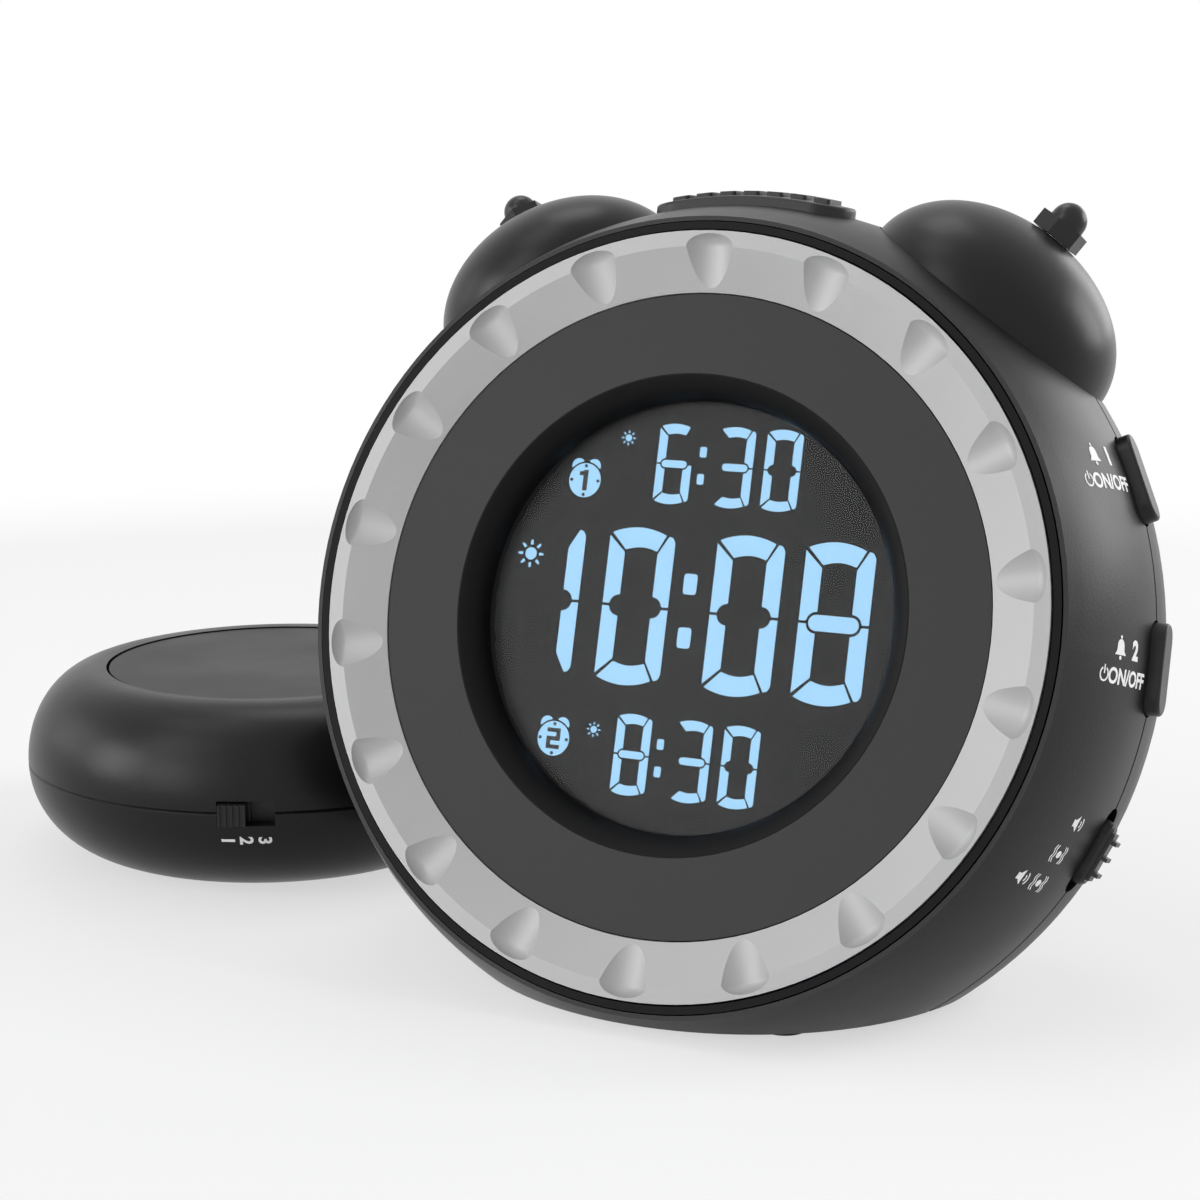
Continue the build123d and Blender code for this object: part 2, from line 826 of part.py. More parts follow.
with BuildPart() as alarm_switches:
    for step in (-1, 0):
        seat = radial_plane(control_angle + step * control_step, carrier_outer, seam_depth)
        add(block(seat, tact_size, tact_size, tact_height))
        plunger_seat = carrier_outer + tact_height
        plunger_reach = button_flange_height - button_flange - button_travel - slide_gap - plunger_seat
        add(disc(seat.offset(tact_height), plunger_radius, plunger_reach))

knob_angle = control_angle + control_step
with BuildPart() as mode_switch_body:
    seat = radial_plane(knob_angle, carrier_outer, seam_depth)
    add(block(seat, slider_body_length, tact_size, slider_body_height))

with BuildPart() as mode_switch_knob:
    guide_foot = radial_plane(knob_angle, button_flange_height - button_flange, seam_depth)
    knob_width = switch_width - slide_gap - slide_gap
    knob_top = body_radius + button_rise - knob_ridge_rise
    knob_height = knob_top - button_flange_height + button_flange
    add(pill(guide_foot, knob_length, knob_width, knob_height))
    top_face = mode_switch_knob.faces().sort_by(Axis(guide_foot.origin, guide_foot.z_dir))[-1]
    chamfer(top_face.edges(), button_edge)
    knob_plane = radial_plane(knob_angle, knob_top, seam_depth)
    add(block(knob_plane, knob_ridge_length, knob_ridge_width, knob_ridge_rise))
    with BuildSketch(knob_plane.offset(knob_ridge_rise)):
        with GridLocations(knob_rib_pitch, 0, 3, 1):
            Rectangle(knob_rib_width, knob_ridge_width)
    extrude(amount=knob_rib_rise)
    add(block(guide_foot, knob_guide_length, knob_guide_width, button_flange))
    lever_foot = radial_plane(knob_angle, carrier_outer + slider_body_height + slide_gap, seam_depth)
    lever_height = button_flange_height - carrier_outer - slider_body_height - slide_gap
    add(block(lever_foot, half * knob_length, half * switch_width, lever_height))

# Speaker
speaker_back = back_plane(back_inner_depth - speaker_flange, 0, speaker_height)
with BuildPart() as speaker_frame:
    basket_front = -speaker_basket_depth
    basket_outline = [
        (cone_radius + slide_gap, 0),
        (speaker_radius, 0),
        (speaker_radius, speaker_flange),
        (cone_radius + slide_gap, speaker_flange),
    ]
    add(turned(speaker_back, basket_outline))
    basket_skin = speaker_flange
    cup_outline = [
        (cone_radius + slide_gap, 0),
        (speaker_radius - half * speaker_flange, 0),
        (speaker_basket_radius, basket_front),
        (0, basket_front),
        (0, basket_front + basket_skin),
        (speaker_basket_radius - basket_skin, basket_front + basket_skin),
    ]
    add(turned(speaker_back, cup_outline))

with BuildPart() as speaker_magnet:
    magnet_foot = speaker_back.offset(basket_front - magnet_height)
    add(disc(magnet_foot, magnet_radius, magnet_height))

with BuildPart() as speaker_cone:
    cone_foot = basket_front + basket_skin + cone_skin
    cone_outline = [
        (cone_radius, 0),
        (cone_radius, cone_skin),
        (cone_radius - cone_skin, cone_skin),
        (cone_throat, cone_foot + cone_skin),
        (0, cone_foot + cone_skin),
        (0, cone_foot),
        (cone_throat, cone_foot),
    ]
    add(turned(speaker_back, cone_outline))

# Back controls
with BuildPart() as rear_board:
    board_place = back_plane(rear_board_depth, 0, rear_board_height)
    add(block(board_place, rear_board_length, rear_board_width, board_thickness))

rear_flange_depth = back_inner_depth - slide_gap
rear_stem_depth = rear_flange_depth - button_flange
with BuildPart() as rear_switches:
    for place in range(4):
        side = (place - 2 + half) * rear_button_pitch
        seat = back_plane(rear_board_back, side, rear_button_height)
        add(block(seat, tact_size, tact_size, tact_height))
        plunger_reach = rear_stem_depth - rear_travel - slide_gap - rear_board_back
        add(disc(seat, plunger_radius, plunger_reach))


def rear_button(place):
    """One round set button in the back, counted from the clock's left as seen from behind."""
    side = (place - 2 + half) * rear_button_pitch
    foot = back_plane(rear_stem_depth, side, rear_button_height)
    with BuildPart() as button:
        add(disc(foot, rear_button_radius, back_depth + rear_button_rise - rear_stem_depth))
        top_face = button.faces().sort_by(Axis(foot.origin, foot.z_dir))[-1]
        fillet(top_face.edges(), button_edge)
        add(disc(foot, rear_button_flange, button_flange))
    return button


time_set_button = rear_button(3)
hour_button = rear_button(2)
minute_button = rear_button(1)
format_button = rear_button(0)

jack_length = back_inner_depth - rear_board_back


def jack(side, bore_radius):
    """A round socket on the rear board with its nose in the back wall."""
    foot = back_plane(rear_board_back, side, jack_height)
    with BuildPart() as socket:
        add(block(foot, jack_size, jack_size, jack_length - touch_gap))
        add(disc(foot, jack_nose_radius, jack_length + wall))
        bore_foot = foot.offset(jack_length + wall - jack_bore_depth)
        add(disc(bore_foot, bore_radius, overrun), mode=Mode.SUBTRACT)
    return socket


with BuildPart() as power_jack:
    add(jack(jack_pitch, power_bore_radius).part)
    pin_foot = back_plane(rear_board_back, jack_pitch, jack_height)
    add(disc(pin_foot, power_pin_radius, jack_length + half * wall))

shaker_jack = jack(-jack_pitch, audio_bore_radius)

with BuildPart() as usb_port:
    foot = back_plane(rear_board_back, 0, jack_height)
    mouth_width = usb_width - usb_shell - usb_shell
    mouth_height = usb_height - usb_shell - usb_shell
    add(block(foot, usb_width, usb_height, jack_length + wall))
    bore_foot = foot.offset(jack_length + wall - jack_bore_depth)
    add(block(bore_foot, mouth_width, mouth_height, overrun), mode=Mode.SUBTRACT)
    add(block(foot, usb_tongue_width, usb_tongue_height, jack_length + half * wall))

wheel_depth = back_depth + wheel_proud - wheel_radius
wheel_foot_height = speaker_height - half * wheel_thickness


def thumb_wheel(side):
    """A notched wheel that stands out of a slot in the back and turns on an upright pin."""
    foot = radial_plane(0, wheel_foot_height, wheel_depth)
    foot = Plane(origin=foot.origin + foot.x_dir * side, x_dir=foot.x_dir, z_dir=foot.z_dir)
    with BuildPart() as wheel:
        with BuildSketch(foot):
            Circle(wheel_radius)
            Circle(wheel_bore + shaft_gap, mode=Mode.SUBTRACT)
            with PolarLocations(wheel_radius, wheel_notch_count):
                Circle(wheel_notch_radius, mode=Mode.SUBTRACT)
        extrude(amount=wheel_thickness)
    return wheel


volume_wheel = thumb_wheel(wheel_side)
dimmer_wheel = thumb_wheel(-wheel_side)

with BuildPart() as thumb_pots:
    for side in (-wheel_side, wheel_side):
        pot_top = radial_plane(0, wheel_foot_height - slide_gap, wheel_depth)
        pot_place = pot_top.origin + pot_top.x_dir * side
        pot_top = Plane(origin=pot_place, x_dir=pot_top.x_dir, z_dir=pot_top.z_dir)
        pot_reach = back_inner_depth - wheel_depth
        with BuildSketch(pot_top):
            with Locations((0, pot_reach - half * pot_length)):
                Rectangle(pot_width, pot_length)
        extrude(amount=-pot_height)
        add(disc(pot_top, wheel_bore, wheel_thickness))

# Battery compartment
box_floor = base_plane.offset(wall)
box_centre = (0, door_front + half * box_depth)
with BuildPart() as battery_box:
    with BuildSketch(box_floor):
        with Locations(box_centre):
            Rectangle(box_inner_length + box_wall + box_wall, box_depth + box_wall + box_wall)
    extrude(amount=box_height)
    with BuildSketch(box_floor):
        with Locations(box_centre):
            Rectangle(box_inner_length, box_depth)
    extrude(amount=box_height - box_wall, mode=Mode.SUBTRACT)

battery_height = foot_rise + door_thickness + slide_gap + battery_radius
first_row = door_front + battery_gap + battery_radius
battery_rows = (first_row, first_row + 2 * battery_radius)
with BuildPart() as batteries:
    for row, turn in zip(battery_rows, (1, -1)):
        can_length = battery_length - battery_nub_height
        can_back = table_plane.origin + Vector(-half * turn * battery_length, row, battery_height)
        start = Plane(origin=can_back, z_dir=(turn, 0, 0))
        add(disc(start, battery_radius, can_length))
        add(disc(start, battery_nub_radius, battery_length))

contact_reach = half * (box_inner_length - battery_length)
with BuildPart() as battery_contacts:
    for row in battery_rows:
        for turn in (-1, 1):
            wall_side = half * turn * box_inner_length
            far = wall_side - turn * contact_reach
            near = wall_side
            contact_floor = table_plane.offset(battery_height - half * contact_height)
            bend = row + half * battery_radius
            tail = row - half * battery_radius
            leaf = turn * contact_thickness
            with BuildSketch(contact_floor):
                with BuildLine():
                    Polyline(
                        (near, tail),
                        (near, bend),
                        (far, row + half * contact_thickness),
                        (far, row - half * contact_thickness),
                        (near - leaf, bend - 2 * contact_thickness),
                        (near - leaf, tail),
                        close=True,
                    )
                make_face()
            extrude(amount=contact_height)

with BuildPart() as battery_door:
    with BuildSketch(base_plane):
        with Locations((0, door_front + slide_gap + half * door_run)):
            Rectangle(door_width, door_run)
    extrude(amount=door_thickness)
    add(barrel(0, lip_depth), mode=Mode.INTERSECT)

# Shaker puck
def puck_body(inset):
    """The puck turned as one solid, with its skin moved inwards."""
    with BuildPart() as body:
        with BuildSketch(upright(puck_plane)):
            with BuildLine():
                top_reach = puck_radius - puck_top_flat - inset
                bottom_reach = puck_radius - puck_bottom_flat - inset
                top_rise = puck_height - puck_seam_height - inset
                bottom_drop = puck_seam_height - inset
                top_centre = (puck_top_flat, puck_seam_height)
                bottom_centre = (puck_bottom_flat, puck_seam_height)
                top_arc = EllipticalCenterArc(
                    top_centre, top_reach, top_rise, 0, arc_size=quarter_turn
                )
                bottom_arc = EllipticalCenterArc(
                    bottom_centre, bottom_reach, bottom_drop, -quarter_turn, arc_size=quarter_turn
                )
                Polyline(top_arc @ 1, (0, puck_height - inset), (0, inset), bottom_arc @ 0)
            make_face()
        revolve(axis=Axis(puck_plane.origin, puck_plane.z_dir))
    return body.part


def puck_columns(radius, low, high):
    """The puck's screw columns of one radius between two heights."""
    with BuildPart() as columns:
        with BuildSketch(puck_plane.offset(low)):
            with PolarLocations(puck_screw_ring, puck_screw_count, start_angle=puck_screw_turn):
                Circle(radius)
        extrude(amount=high - low)
    return columns.part


puck_slot_length = puck_knob_length + puck_slide + slide_gap + slide_gap
slot_plane = puck_wall_plane(puck_radius - overrun, puck_seam_height)
inlet_plane = Plane(
    origin=puck_plane.origin + puck_plane.z_dir * puck_seam_height,
    x_dir=-puck_plane.x_dir,
    z_dir=puck_plane.y_dir,
).offset(puck_radius - puck_wall)

with BuildPart() as puck_bosses:
    add(puck_columns(puck_boss_radius, 0, puck_height))
    add(puck_body(half * puck_wall), mode=Mode.INTERSECT)

puck_recess = puck_plane.offset(puck_height - puck_disc_thickness - puck_disc_sink)
with BuildPart() as puck_ledge:
    add(disc(puck_recess.offset(-puck_wall), puck_radius, puck_wall))
    add(disc(puck_recess.offset(-puck_wall), puck_ledge_radius, puck_wall), mode=Mode.SUBTRACT)
    add(puck_body(half * puck_wall), mode=Mode.INTERSECT)

with BuildPart() as puck_shell:
    add(puck_body(0))
    add(puck_body(puck_wall), mode=Mode.SUBTRACT)
    add(puck_ledge.part)
    add(puck_bosses.part)
    add(disc(puck_recess, puck_disc_radius + puck_disc_gap, overrun), mode=Mode.SUBTRACT)
    puck_mark = [
        (puck_radius - seam_groove, puck_seam_height),
        (puck_radius + seam_groove, puck_seam_height - seam_groove - seam_groove),
        (puck_radius + seam_groove, puck_seam_height + seam_groove + seam_groove),
    ]
    add(turned(puck_plane, puck_mark), mode=Mode.SUBTRACT)
    add(block(slot_plane, puck_slot_length, puck_slot_height, overrun + overrun), mode=Mode.SUBTRACT)
    add(disc(inlet_plane.offset(-overrun), inlet_radius + touch_gap, overrun + overrun), mode=Mode.SUBTRACT)
    add(puck_columns(screw_well_radius, 0, puck_screw_seat), mode=Mode.SUBTRACT)
    bore_top = puck_seam_height + puck_screw_bite
    add(puck_columns(screw_radius + touch_gap, 0, bore_top), mode=Mode.SUBTRACT)

puck_seam = puck_plane.offset(puck_seam_height)
with BuildPart() as shaker_lower_shell:
    add(puck_shell.part)
    split(bisect_by=puck_seam, keep=Keep.BOTTOM)

with BuildPart() as shaker_upper_shell:
    add(puck_shell.part)
    split(bisect_by=puck_seam, keep=Keep.TOP)

with BuildPart() as shaker_top_disc:
    add(disc(puck_recess, puck_disc_radius, puck_disc_thickness))

with BuildPart() as shaker_screws:
    head_top = puck_screw_seat
    add(puck_columns(screw_head_radius, head_top - screw_head_height, head_top))
    add(puck_columns(screw_radius, head_top, puck_seam_height + puck_screw_bite))

# Shaker motor, along the puck's x
motor_plane = Plane(
    origin=puck_plane.origin + puck_plane.z_dir * motor_height - puck_plane.x_dir * motor_shift,
    x_dir=puck_plane.y_dir,
    z_dir=puck_plane.x_dir,
)
motor_back = motor_plane.offset(-half * motor_length)
motor_front = motor_plane.offset(half * motor_length)
nose_front = motor_front.offset(motor_nose_length)
with BuildPart() as shaker_motor:
    add(disc(motor_back, motor_radius, motor_length))
    add(disc(motor_front, motor_nose_radius, motor_nose_length))
    bore_start = nose_front.offset(-shaft_bore_depth)
    add(disc(bore_start, shaft_radius + shaft_gap, overrun), mode=Mode.SUBTRACT)

with BuildPart() as shaker_weight:
    weight_back = nose_front.offset(weight_clear)
    with BuildSketch(weight_back):
        Circle(weight_radius)
        with Locations((0, weight_radius)):
            Rectangle(2 * weight_radius, 2 * weight_radius, mode=Mode.SUBTRACT)
        Circle(weight_hub_radius)
    extrude(amount=weight_thickness)
    shaft_start = nose_front.offset(touch_gap - shaft_bore_depth)
    shaft_length = shaft_bore_depth - touch_gap + weight_clear + weight_thickness
    add(disc(shaft_start, shaft_radius, shaft_length))

with BuildPart() as motor_cradle:
    cradle_size = motor_length - cradle_wall - cradle_wall
    cradle_floor = Plane(
        origin=puck_plane.origin + puck_plane.z_dir * puck_wall - puck_plane.x_dir * motor_shift,
        x_dir=puck_plane.x_dir,
        z_dir=(0, 0, 1),
    )
    add(block(cradle_floor, cradle_size, cradle_width, cradle_height))
    add(disc(motor_back, motor_radius + touch_gap, motor_length), mode=Mode.SUBTRACT)

# Shaker switch
knob_reach = puck_radius - puck_wall - puck_guide_thickness - slide_gap - slide_gap
knob_shift = -half * (puck_slot_length - puck_knob_length) + slide_gap
guide_plane = puck_wall_plane(knob_reach, puck_seam_height)
switch_front = knob_reach - slide_gap
switch_back = switch_front - puck_switch_depth
with BuildPart() as shaker_switch_knob:
    cap_height = puck_slot_height - slide_gap - slide_gap
    cap_reach = puck_radius + puck_knob_rise - knob_reach
    with BuildSketch(guide_plane):
        with Locations((knob_shift, 0)):
            Rectangle(puck_knob_length, cap_height)
    extrude(amount=cap_reach)
    with BuildSketch(guide_plane):
        with Locations((knob_shift, 0)):
            Rectangle(puck_guide_length, puck_guide_height)
    extrude(amount=puck_guide_thickness)
    rib_pitch = (puck_knob_length - puck_rib_width) / (puck_rib_count - 1)
    with BuildSketch(guide_plane.offset(cap_reach)):
        with Locations((knob_shift, 0)):
            with GridLocations(rib_pitch, 0, puck_rib_count, 1):
                Rectangle(puck_rib_width, cap_height)
    extrude(amount=puck_rib_rise)

with BuildPart() as shaker_switch_body:
    body_plane = puck_wall_plane(switch_back, puck_seam_height)
    add(block(body_plane, puck_switch_length, puck_switch_height, puck_switch_depth))

with BuildPart() as shaker_board:
    board_top = puck_seam_height + half * puck_switch_height
    board_reach = sqrt(switch_back**2 + (half * puck_board_length) ** 2) - puck_bottom_flat
    floor_reach = puck_radius - puck_wall - puck_bottom_flat
    floor_drop = puck_seam_height - puck_wall
    floor_height = puck_seam_height - floor_drop * sqrt(1 - (board_reach / floor_reach) ** 2)
    board_low = floor_height + slide_gap
    with BuildSketch(puck_wall_plane(switch_back - puck_board_thickness, 0)):
        with Locations((0, half * (board_top + board_low))):
            Rectangle(puck_board_length, board_top - board_low)
    extrude(amount=puck_board_thickness)

with BuildPart() as cord_inlet:
    inlet_reach = half * inlet_depth + puck_wall + inlet_flange
    add(disc(inlet_plane.offset(-half * inlet_depth), inlet_radius, inlet_reach))
    add(disc(inlet_plane.offset(puck_wall + touch_gap), inlet_flange_radius, inlet_flange))
    add(disc(inlet_plane.offset(-overrun), inlet_bore_radius, 3 * overrun), mode=Mode.SUBTRACT)

pieces = {
    "front_case": front_case,
    "rear_cover": rear_cover,
    "rubber_feet": rubber_feet,
    "case_screws": case_screws,
    "bezel_ring": bezel_ring,
    "face_plate": face_plate,
    "front_panel": front_panel,
    "display_lens": display_lens,
    "lcd_panel": lcd_panel,
    "light_guide": light_guide,
    "lcd_frame": lcd_frame,
    "main_board": main_board,
    "board_parts": board_parts,
    "left_bell": left_bell,
    "right_bell": right_bell,
    "bell_posts": bell_posts,
    "bell_nuts": bell_nuts,
    "snooze_button": snooze_button,
    "snooze_switch": snooze_switch,
    "alarm_1_button": alarm_1_button,
    "alarm_2_button": alarm_2_button,
    "switch_carrier": switch_carrier,
    "alarm_switches": alarm_switches,
    "mode_switch_knob": mode_switch_knob,
    "mode_switch_body": mode_switch_body,
    "speaker_frame": speaker_frame,
    "speaker_magnet": speaker_magnet,
    "speaker_cone": speaker_cone,
    "rear_board": rear_board,
    "rear_switches": rear_switches,
    "time_set_button": time_set_button,
    "hour_button": hour_button,
    "minute_button": minute_button,
    "format_button": format_button,
    "power_jack": power_jack,
    "shaker_jack": shaker_jack,
    "usb_port": usb_port,
    "volume_wheel": volume_wheel,
    "dimmer_wheel": dimmer_wheel,
    "thumb_pots": thumb_pots,
    "battery_box": battery_box,
    "battery_door": battery_door,
    "batteries": batteries,
    "battery_contacts": battery_contacts,
    "shaker_lower_shell": shaker_lower_shell,
    "shaker_upper_shell": shaker_upper_shell,
    "shaker_top_disc": shaker_top_disc,
    "shaker_screws": shaker_screws,
    "shaker_motor": shaker_motor,
    "shaker_weight": shaker_weight,
    "motor_cradle": motor_cradle,
    "shaker_switch_knob": shaker_switch_knob,
    "shaker_switch_body": shaker_switch_body,
    "shaker_board": shaker_board,
    "cord_inlet": cord_inlet,
}

for name, piece in pieces.items():
    piece.part.label = name
    export_step(piece.part, f"parts/{name}.step")
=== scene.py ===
"""Looks of the bed shaker alarm clock: finishes, display, printed marks and fine pieces.

Everything is in metres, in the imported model's own frame: X to the right as seen from the
front, Y backwards, Z upwards. On the clock, side runs to the right, rise towards the top of
the face and depth backwards from the face along the barrel.
"""

import logging
import math
from dataclasses import dataclass, field
from enum import Enum
from functools import cache
from typing import Sequence

import bmesh
import bpy
from mathutils import Matrix, Vector


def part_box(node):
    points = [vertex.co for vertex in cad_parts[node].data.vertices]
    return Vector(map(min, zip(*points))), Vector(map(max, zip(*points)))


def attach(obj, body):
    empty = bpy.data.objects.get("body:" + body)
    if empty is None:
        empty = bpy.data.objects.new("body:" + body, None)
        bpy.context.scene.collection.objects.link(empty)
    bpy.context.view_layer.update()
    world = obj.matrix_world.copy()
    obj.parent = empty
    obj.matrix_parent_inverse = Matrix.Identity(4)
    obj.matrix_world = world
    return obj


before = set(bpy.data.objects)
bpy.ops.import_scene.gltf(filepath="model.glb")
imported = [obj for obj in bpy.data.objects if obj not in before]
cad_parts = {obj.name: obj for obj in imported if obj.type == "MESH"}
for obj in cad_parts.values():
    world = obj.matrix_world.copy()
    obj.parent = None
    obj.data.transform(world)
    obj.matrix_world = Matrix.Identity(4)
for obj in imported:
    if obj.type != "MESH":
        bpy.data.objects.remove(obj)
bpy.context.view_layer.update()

log = logging.getLogger("bed_shaker_clock")

MM = 0.001
INK_LIFT = 0.02 * MM
INK_THICKNESS = 0.03 * MM
INK_REACH = 20.0 * MM
INK_LEVELS = 3
WELD = 0.0005 * MM

Colour = tuple[float, float, float]
Point = tuple[float, float]
Outline = list[Point]
Sockets = dict[str, float | str]
Socket = bpy.types.NodeSocket
Tree = bpy.types.NodeTree
Given = bpy.types.bpy_prop_collection
Mesh = bpy.types.Mesh

BLACK_WEAR: Colour = (0.05, 0.05, 0.052)
WEAR_WIDTH = 0.25 * MM

# The sockets of a colour's Mix node, and the number that Random Value gives.
MIX_SHARE, MIX_BASE, MIX_TOP, MIX_COLOUR = 0, 6, 7, 2
RANDOM_NUMBER = 1


class Body(Enum):
    """The bodies of the frame that the pieces made here ride on."""

    CLOCK = "clock"
    SHAKER = "shaker"


class Slot(Enum):
    """Names of material slots; nothing in this script uses them."""

    BLACK = "black_plastic"
    DISPLAY = "lcd_glass"
    STEEL = "steel"
    INK = "white_plastic"


@dataclass
class Wiring:
    """Short calls for building a node tree."""

    tree: Tree

    @classmethod
    def group(
        cls, name: str, kind: str, inputs: Sockets, outputs: Sockets,
    ) -> tuple["Wiring", Given]:
        """Starts a node group.

        Args:
            name: the group's name.
            kind: ShaderNodeTree or GeometryNodeTree.
            inputs: each input with its default number, or its kind where it isn't a number.
            outputs: the same for the outputs.

        Returns:
            The wiring of the new group, and what the group is given.
        """
        tree = bpy.data.node_groups.new(name, kind)
        for way, sockets in (("INPUT", inputs), ("OUTPUT", outputs)):
            for label, value in sockets.items():
                sort = value if isinstance(value, str) else "Float"
                socket = tree.interface.new_socket(
                    name=label, in_out=way, socket_type=f"NodeSocket{sort}",
                )
                if sort == "Float":
                    socket.default_value = value
        wiring = cls(tree)
        return wiring, wiring.node("NodeGroupInput").outputs

    def node(self, kind: str, values: dict | None = None, **settings: object) -> bpy.types.Node:
        """Adds a node.

        Args:
            kind: the node's type name.
            values: input names or numbers, each with a default value or a socket to link.
            settings: the node's own properties.

        Returns:
            The new node.
        """
        made = self.tree.nodes.new(kind)
        for name, value in settings.items():
            setattr(made, name, value)
        for name, value in (values or {}).items():
            if isinstance(value, Socket):
                self.tree.links.new(value, made.inputs[name])
            else:
                made.inputs[name].default_value = value
        return made

    def out(self, kind: str, values: dict | None = None, **settings: object) -> Socket:
        """Adds a node, as node() does, and gives its first output."""
        return self.node(kind, values, **settings).outputs[0]

    def math(
        self, kind: str, first: object, second: object = 0.0, clamp: bool = False,
    ) -> Socket:
        """The result of a Math node, kept between 0 and 1 where clamp is set."""
        return self.out("ShaderNodeMath", {0: first, 1: second}, operation=kind, use_clamp=clamp)

    def vector(self, kind: str, values: dict) -> Socket:
        """The vector that a Vector Math node gives."""
        return self.out("ShaderNodeVectorMath", values, operation=kind)

    def spread(
        self, value: Socket, low: float, high: float, least: float = 0.0, most: float = 1.0,
    ) -> Socket:
        """A value mapped from low and high onto least and most, and kept between them."""
        return self.out("ShaderNodeMapRange", {0: value, 1: low, 2: high, 3: least, 4: most})

    def blend(self, share: Socket, first: Socket | Colour, second: Socket | Colour) -> Socket:
        """Mixes two colours.

        Args:
            share: how much of the second colour, from 0 to 1.
            first: a colour or a socket.
            second: a colour or a socket.

        Returns:
            The mixed colour.
        """
        base, top = ((*c, 1.0) if isinstance(c, tuple) else c for c in (first, second))
        values = {MIX_SHARE: share, MIX_BASE: base, MIX_TOP: top}
        return self.node("ShaderNodeMix", values, data_type="RGBA").outputs[MIX_COLOUR]

    def noise(self, scale: Socket, detail: float) -> Socket:
        """Noise by the object's own coordinates."""
        place = self.node("ShaderNodeTexCoord").outputs["Object"]
        return self.out("ShaderNodeTexNoise", {"Vector": place, "Scale": scale, "Detail": detail})

    def result(self, *values: Socket) -> Tree:
        """Ends the group: links its outputs in their order and gives its tree."""
        self.node("NodeGroupOutput", dict(enumerate(values)))
        return self.tree


class Effects:
    """Shader groups that several finishes share, each built once."""

    PATCH_RANGE = (0.3, 0.7)
    EDGE_TURN = (0.99, 0.8)
    WEAR_RANGE = (0.35, 0.65)
    DUST_SLOPE = (0.4, 1.0)
    DUST_RANGE = (0.45, 0.75)

    @staticmethod
    @cache
    def grain() -> Tree:
        """Fine moulded or painted texture.

        Returns:
            The group, with Height and Patch as outputs.
        """
        inputs = {"Fineness": 3000.0, "Patch Fineness": 40.0}
        outputs = {"Height": 0.0, "Patch": 0.0}
        wiring, given = Wiring.group("surface_grain", "ShaderNodeTree", inputs, outputs)
        place = wiring.node("ShaderNodeTexCoord").outputs["Object"]
        cells = wiring.node(
            "ShaderNodeTexVoronoi", {"Vector": place, "Scale": given[0]}, feature="SMOOTH_F1",
        )
        height = wiring.math("ADD", cells.outputs["Distance"], wiring.noise(given[0], 3.0))
        broad = wiring.noise(given[1], 4.0)
        return wiring.result(height, wiring.spread(broad, *Effects.PATCH_RANGE))

    @staticmethod
    @cache
    def worn_edge() -> Tree:
        """Rubbed outer edges, broken up by noise.

        Returns:
            The group, with Mask as its output.
        """
        inputs = {"Width": 0.3 * MM, "Fineness": 500.0}
        wiring, given = Wiring.group("worn_edge", "ShaderNodeTree", inputs, {"Mask": 0.0})
        soft = wiring.out("ShaderNodeBevel", {"Radius": given[0]}, samples=4)
        plain = wiring.node("ShaderNodeNewGeometry").outputs["Normal"]
        turn = wiring.node("ShaderNodeVectorMath", {0: soft, 1: plain}, operation="DOT_PRODUCT")
        edge = wiring.spread(turn.outputs["Value"], *Effects.EDGE_TURN)
        broken = wiring.spread(wiring.noise(given[1], 5.0), *Effects.WEAR_RANGE)
        return wiring.result(wiring.math("MULTIPLY", edge, broken, clamp=True))

    @staticmethod
    @cache
    def dust() -> Tree:
        """A thin film of dust on what faces upwards.

        Returns:
            The group, with Mask as its output.
        """
        inputs = {"Fineness": 900.0}
        wiring, given = Wiring.group("settled_dust", "ShaderNodeTree", inputs, {"Mask": 0.0})
        normal = wiring.node("ShaderNodeNewGeometry").outputs["Normal"]
        upward = wiring.node("ShaderNodeSeparateXYZ", {0: normal}).outputs["Z"]
        level = wiring.spread(upward, *Effects.DUST_SLOPE)
        specks = wiring.spread(wiring.noise(given[0], 6.0), *Effects.DUST_RANGE)
        return wiring.result(wiring.math("MULTIPLY", level, specks))


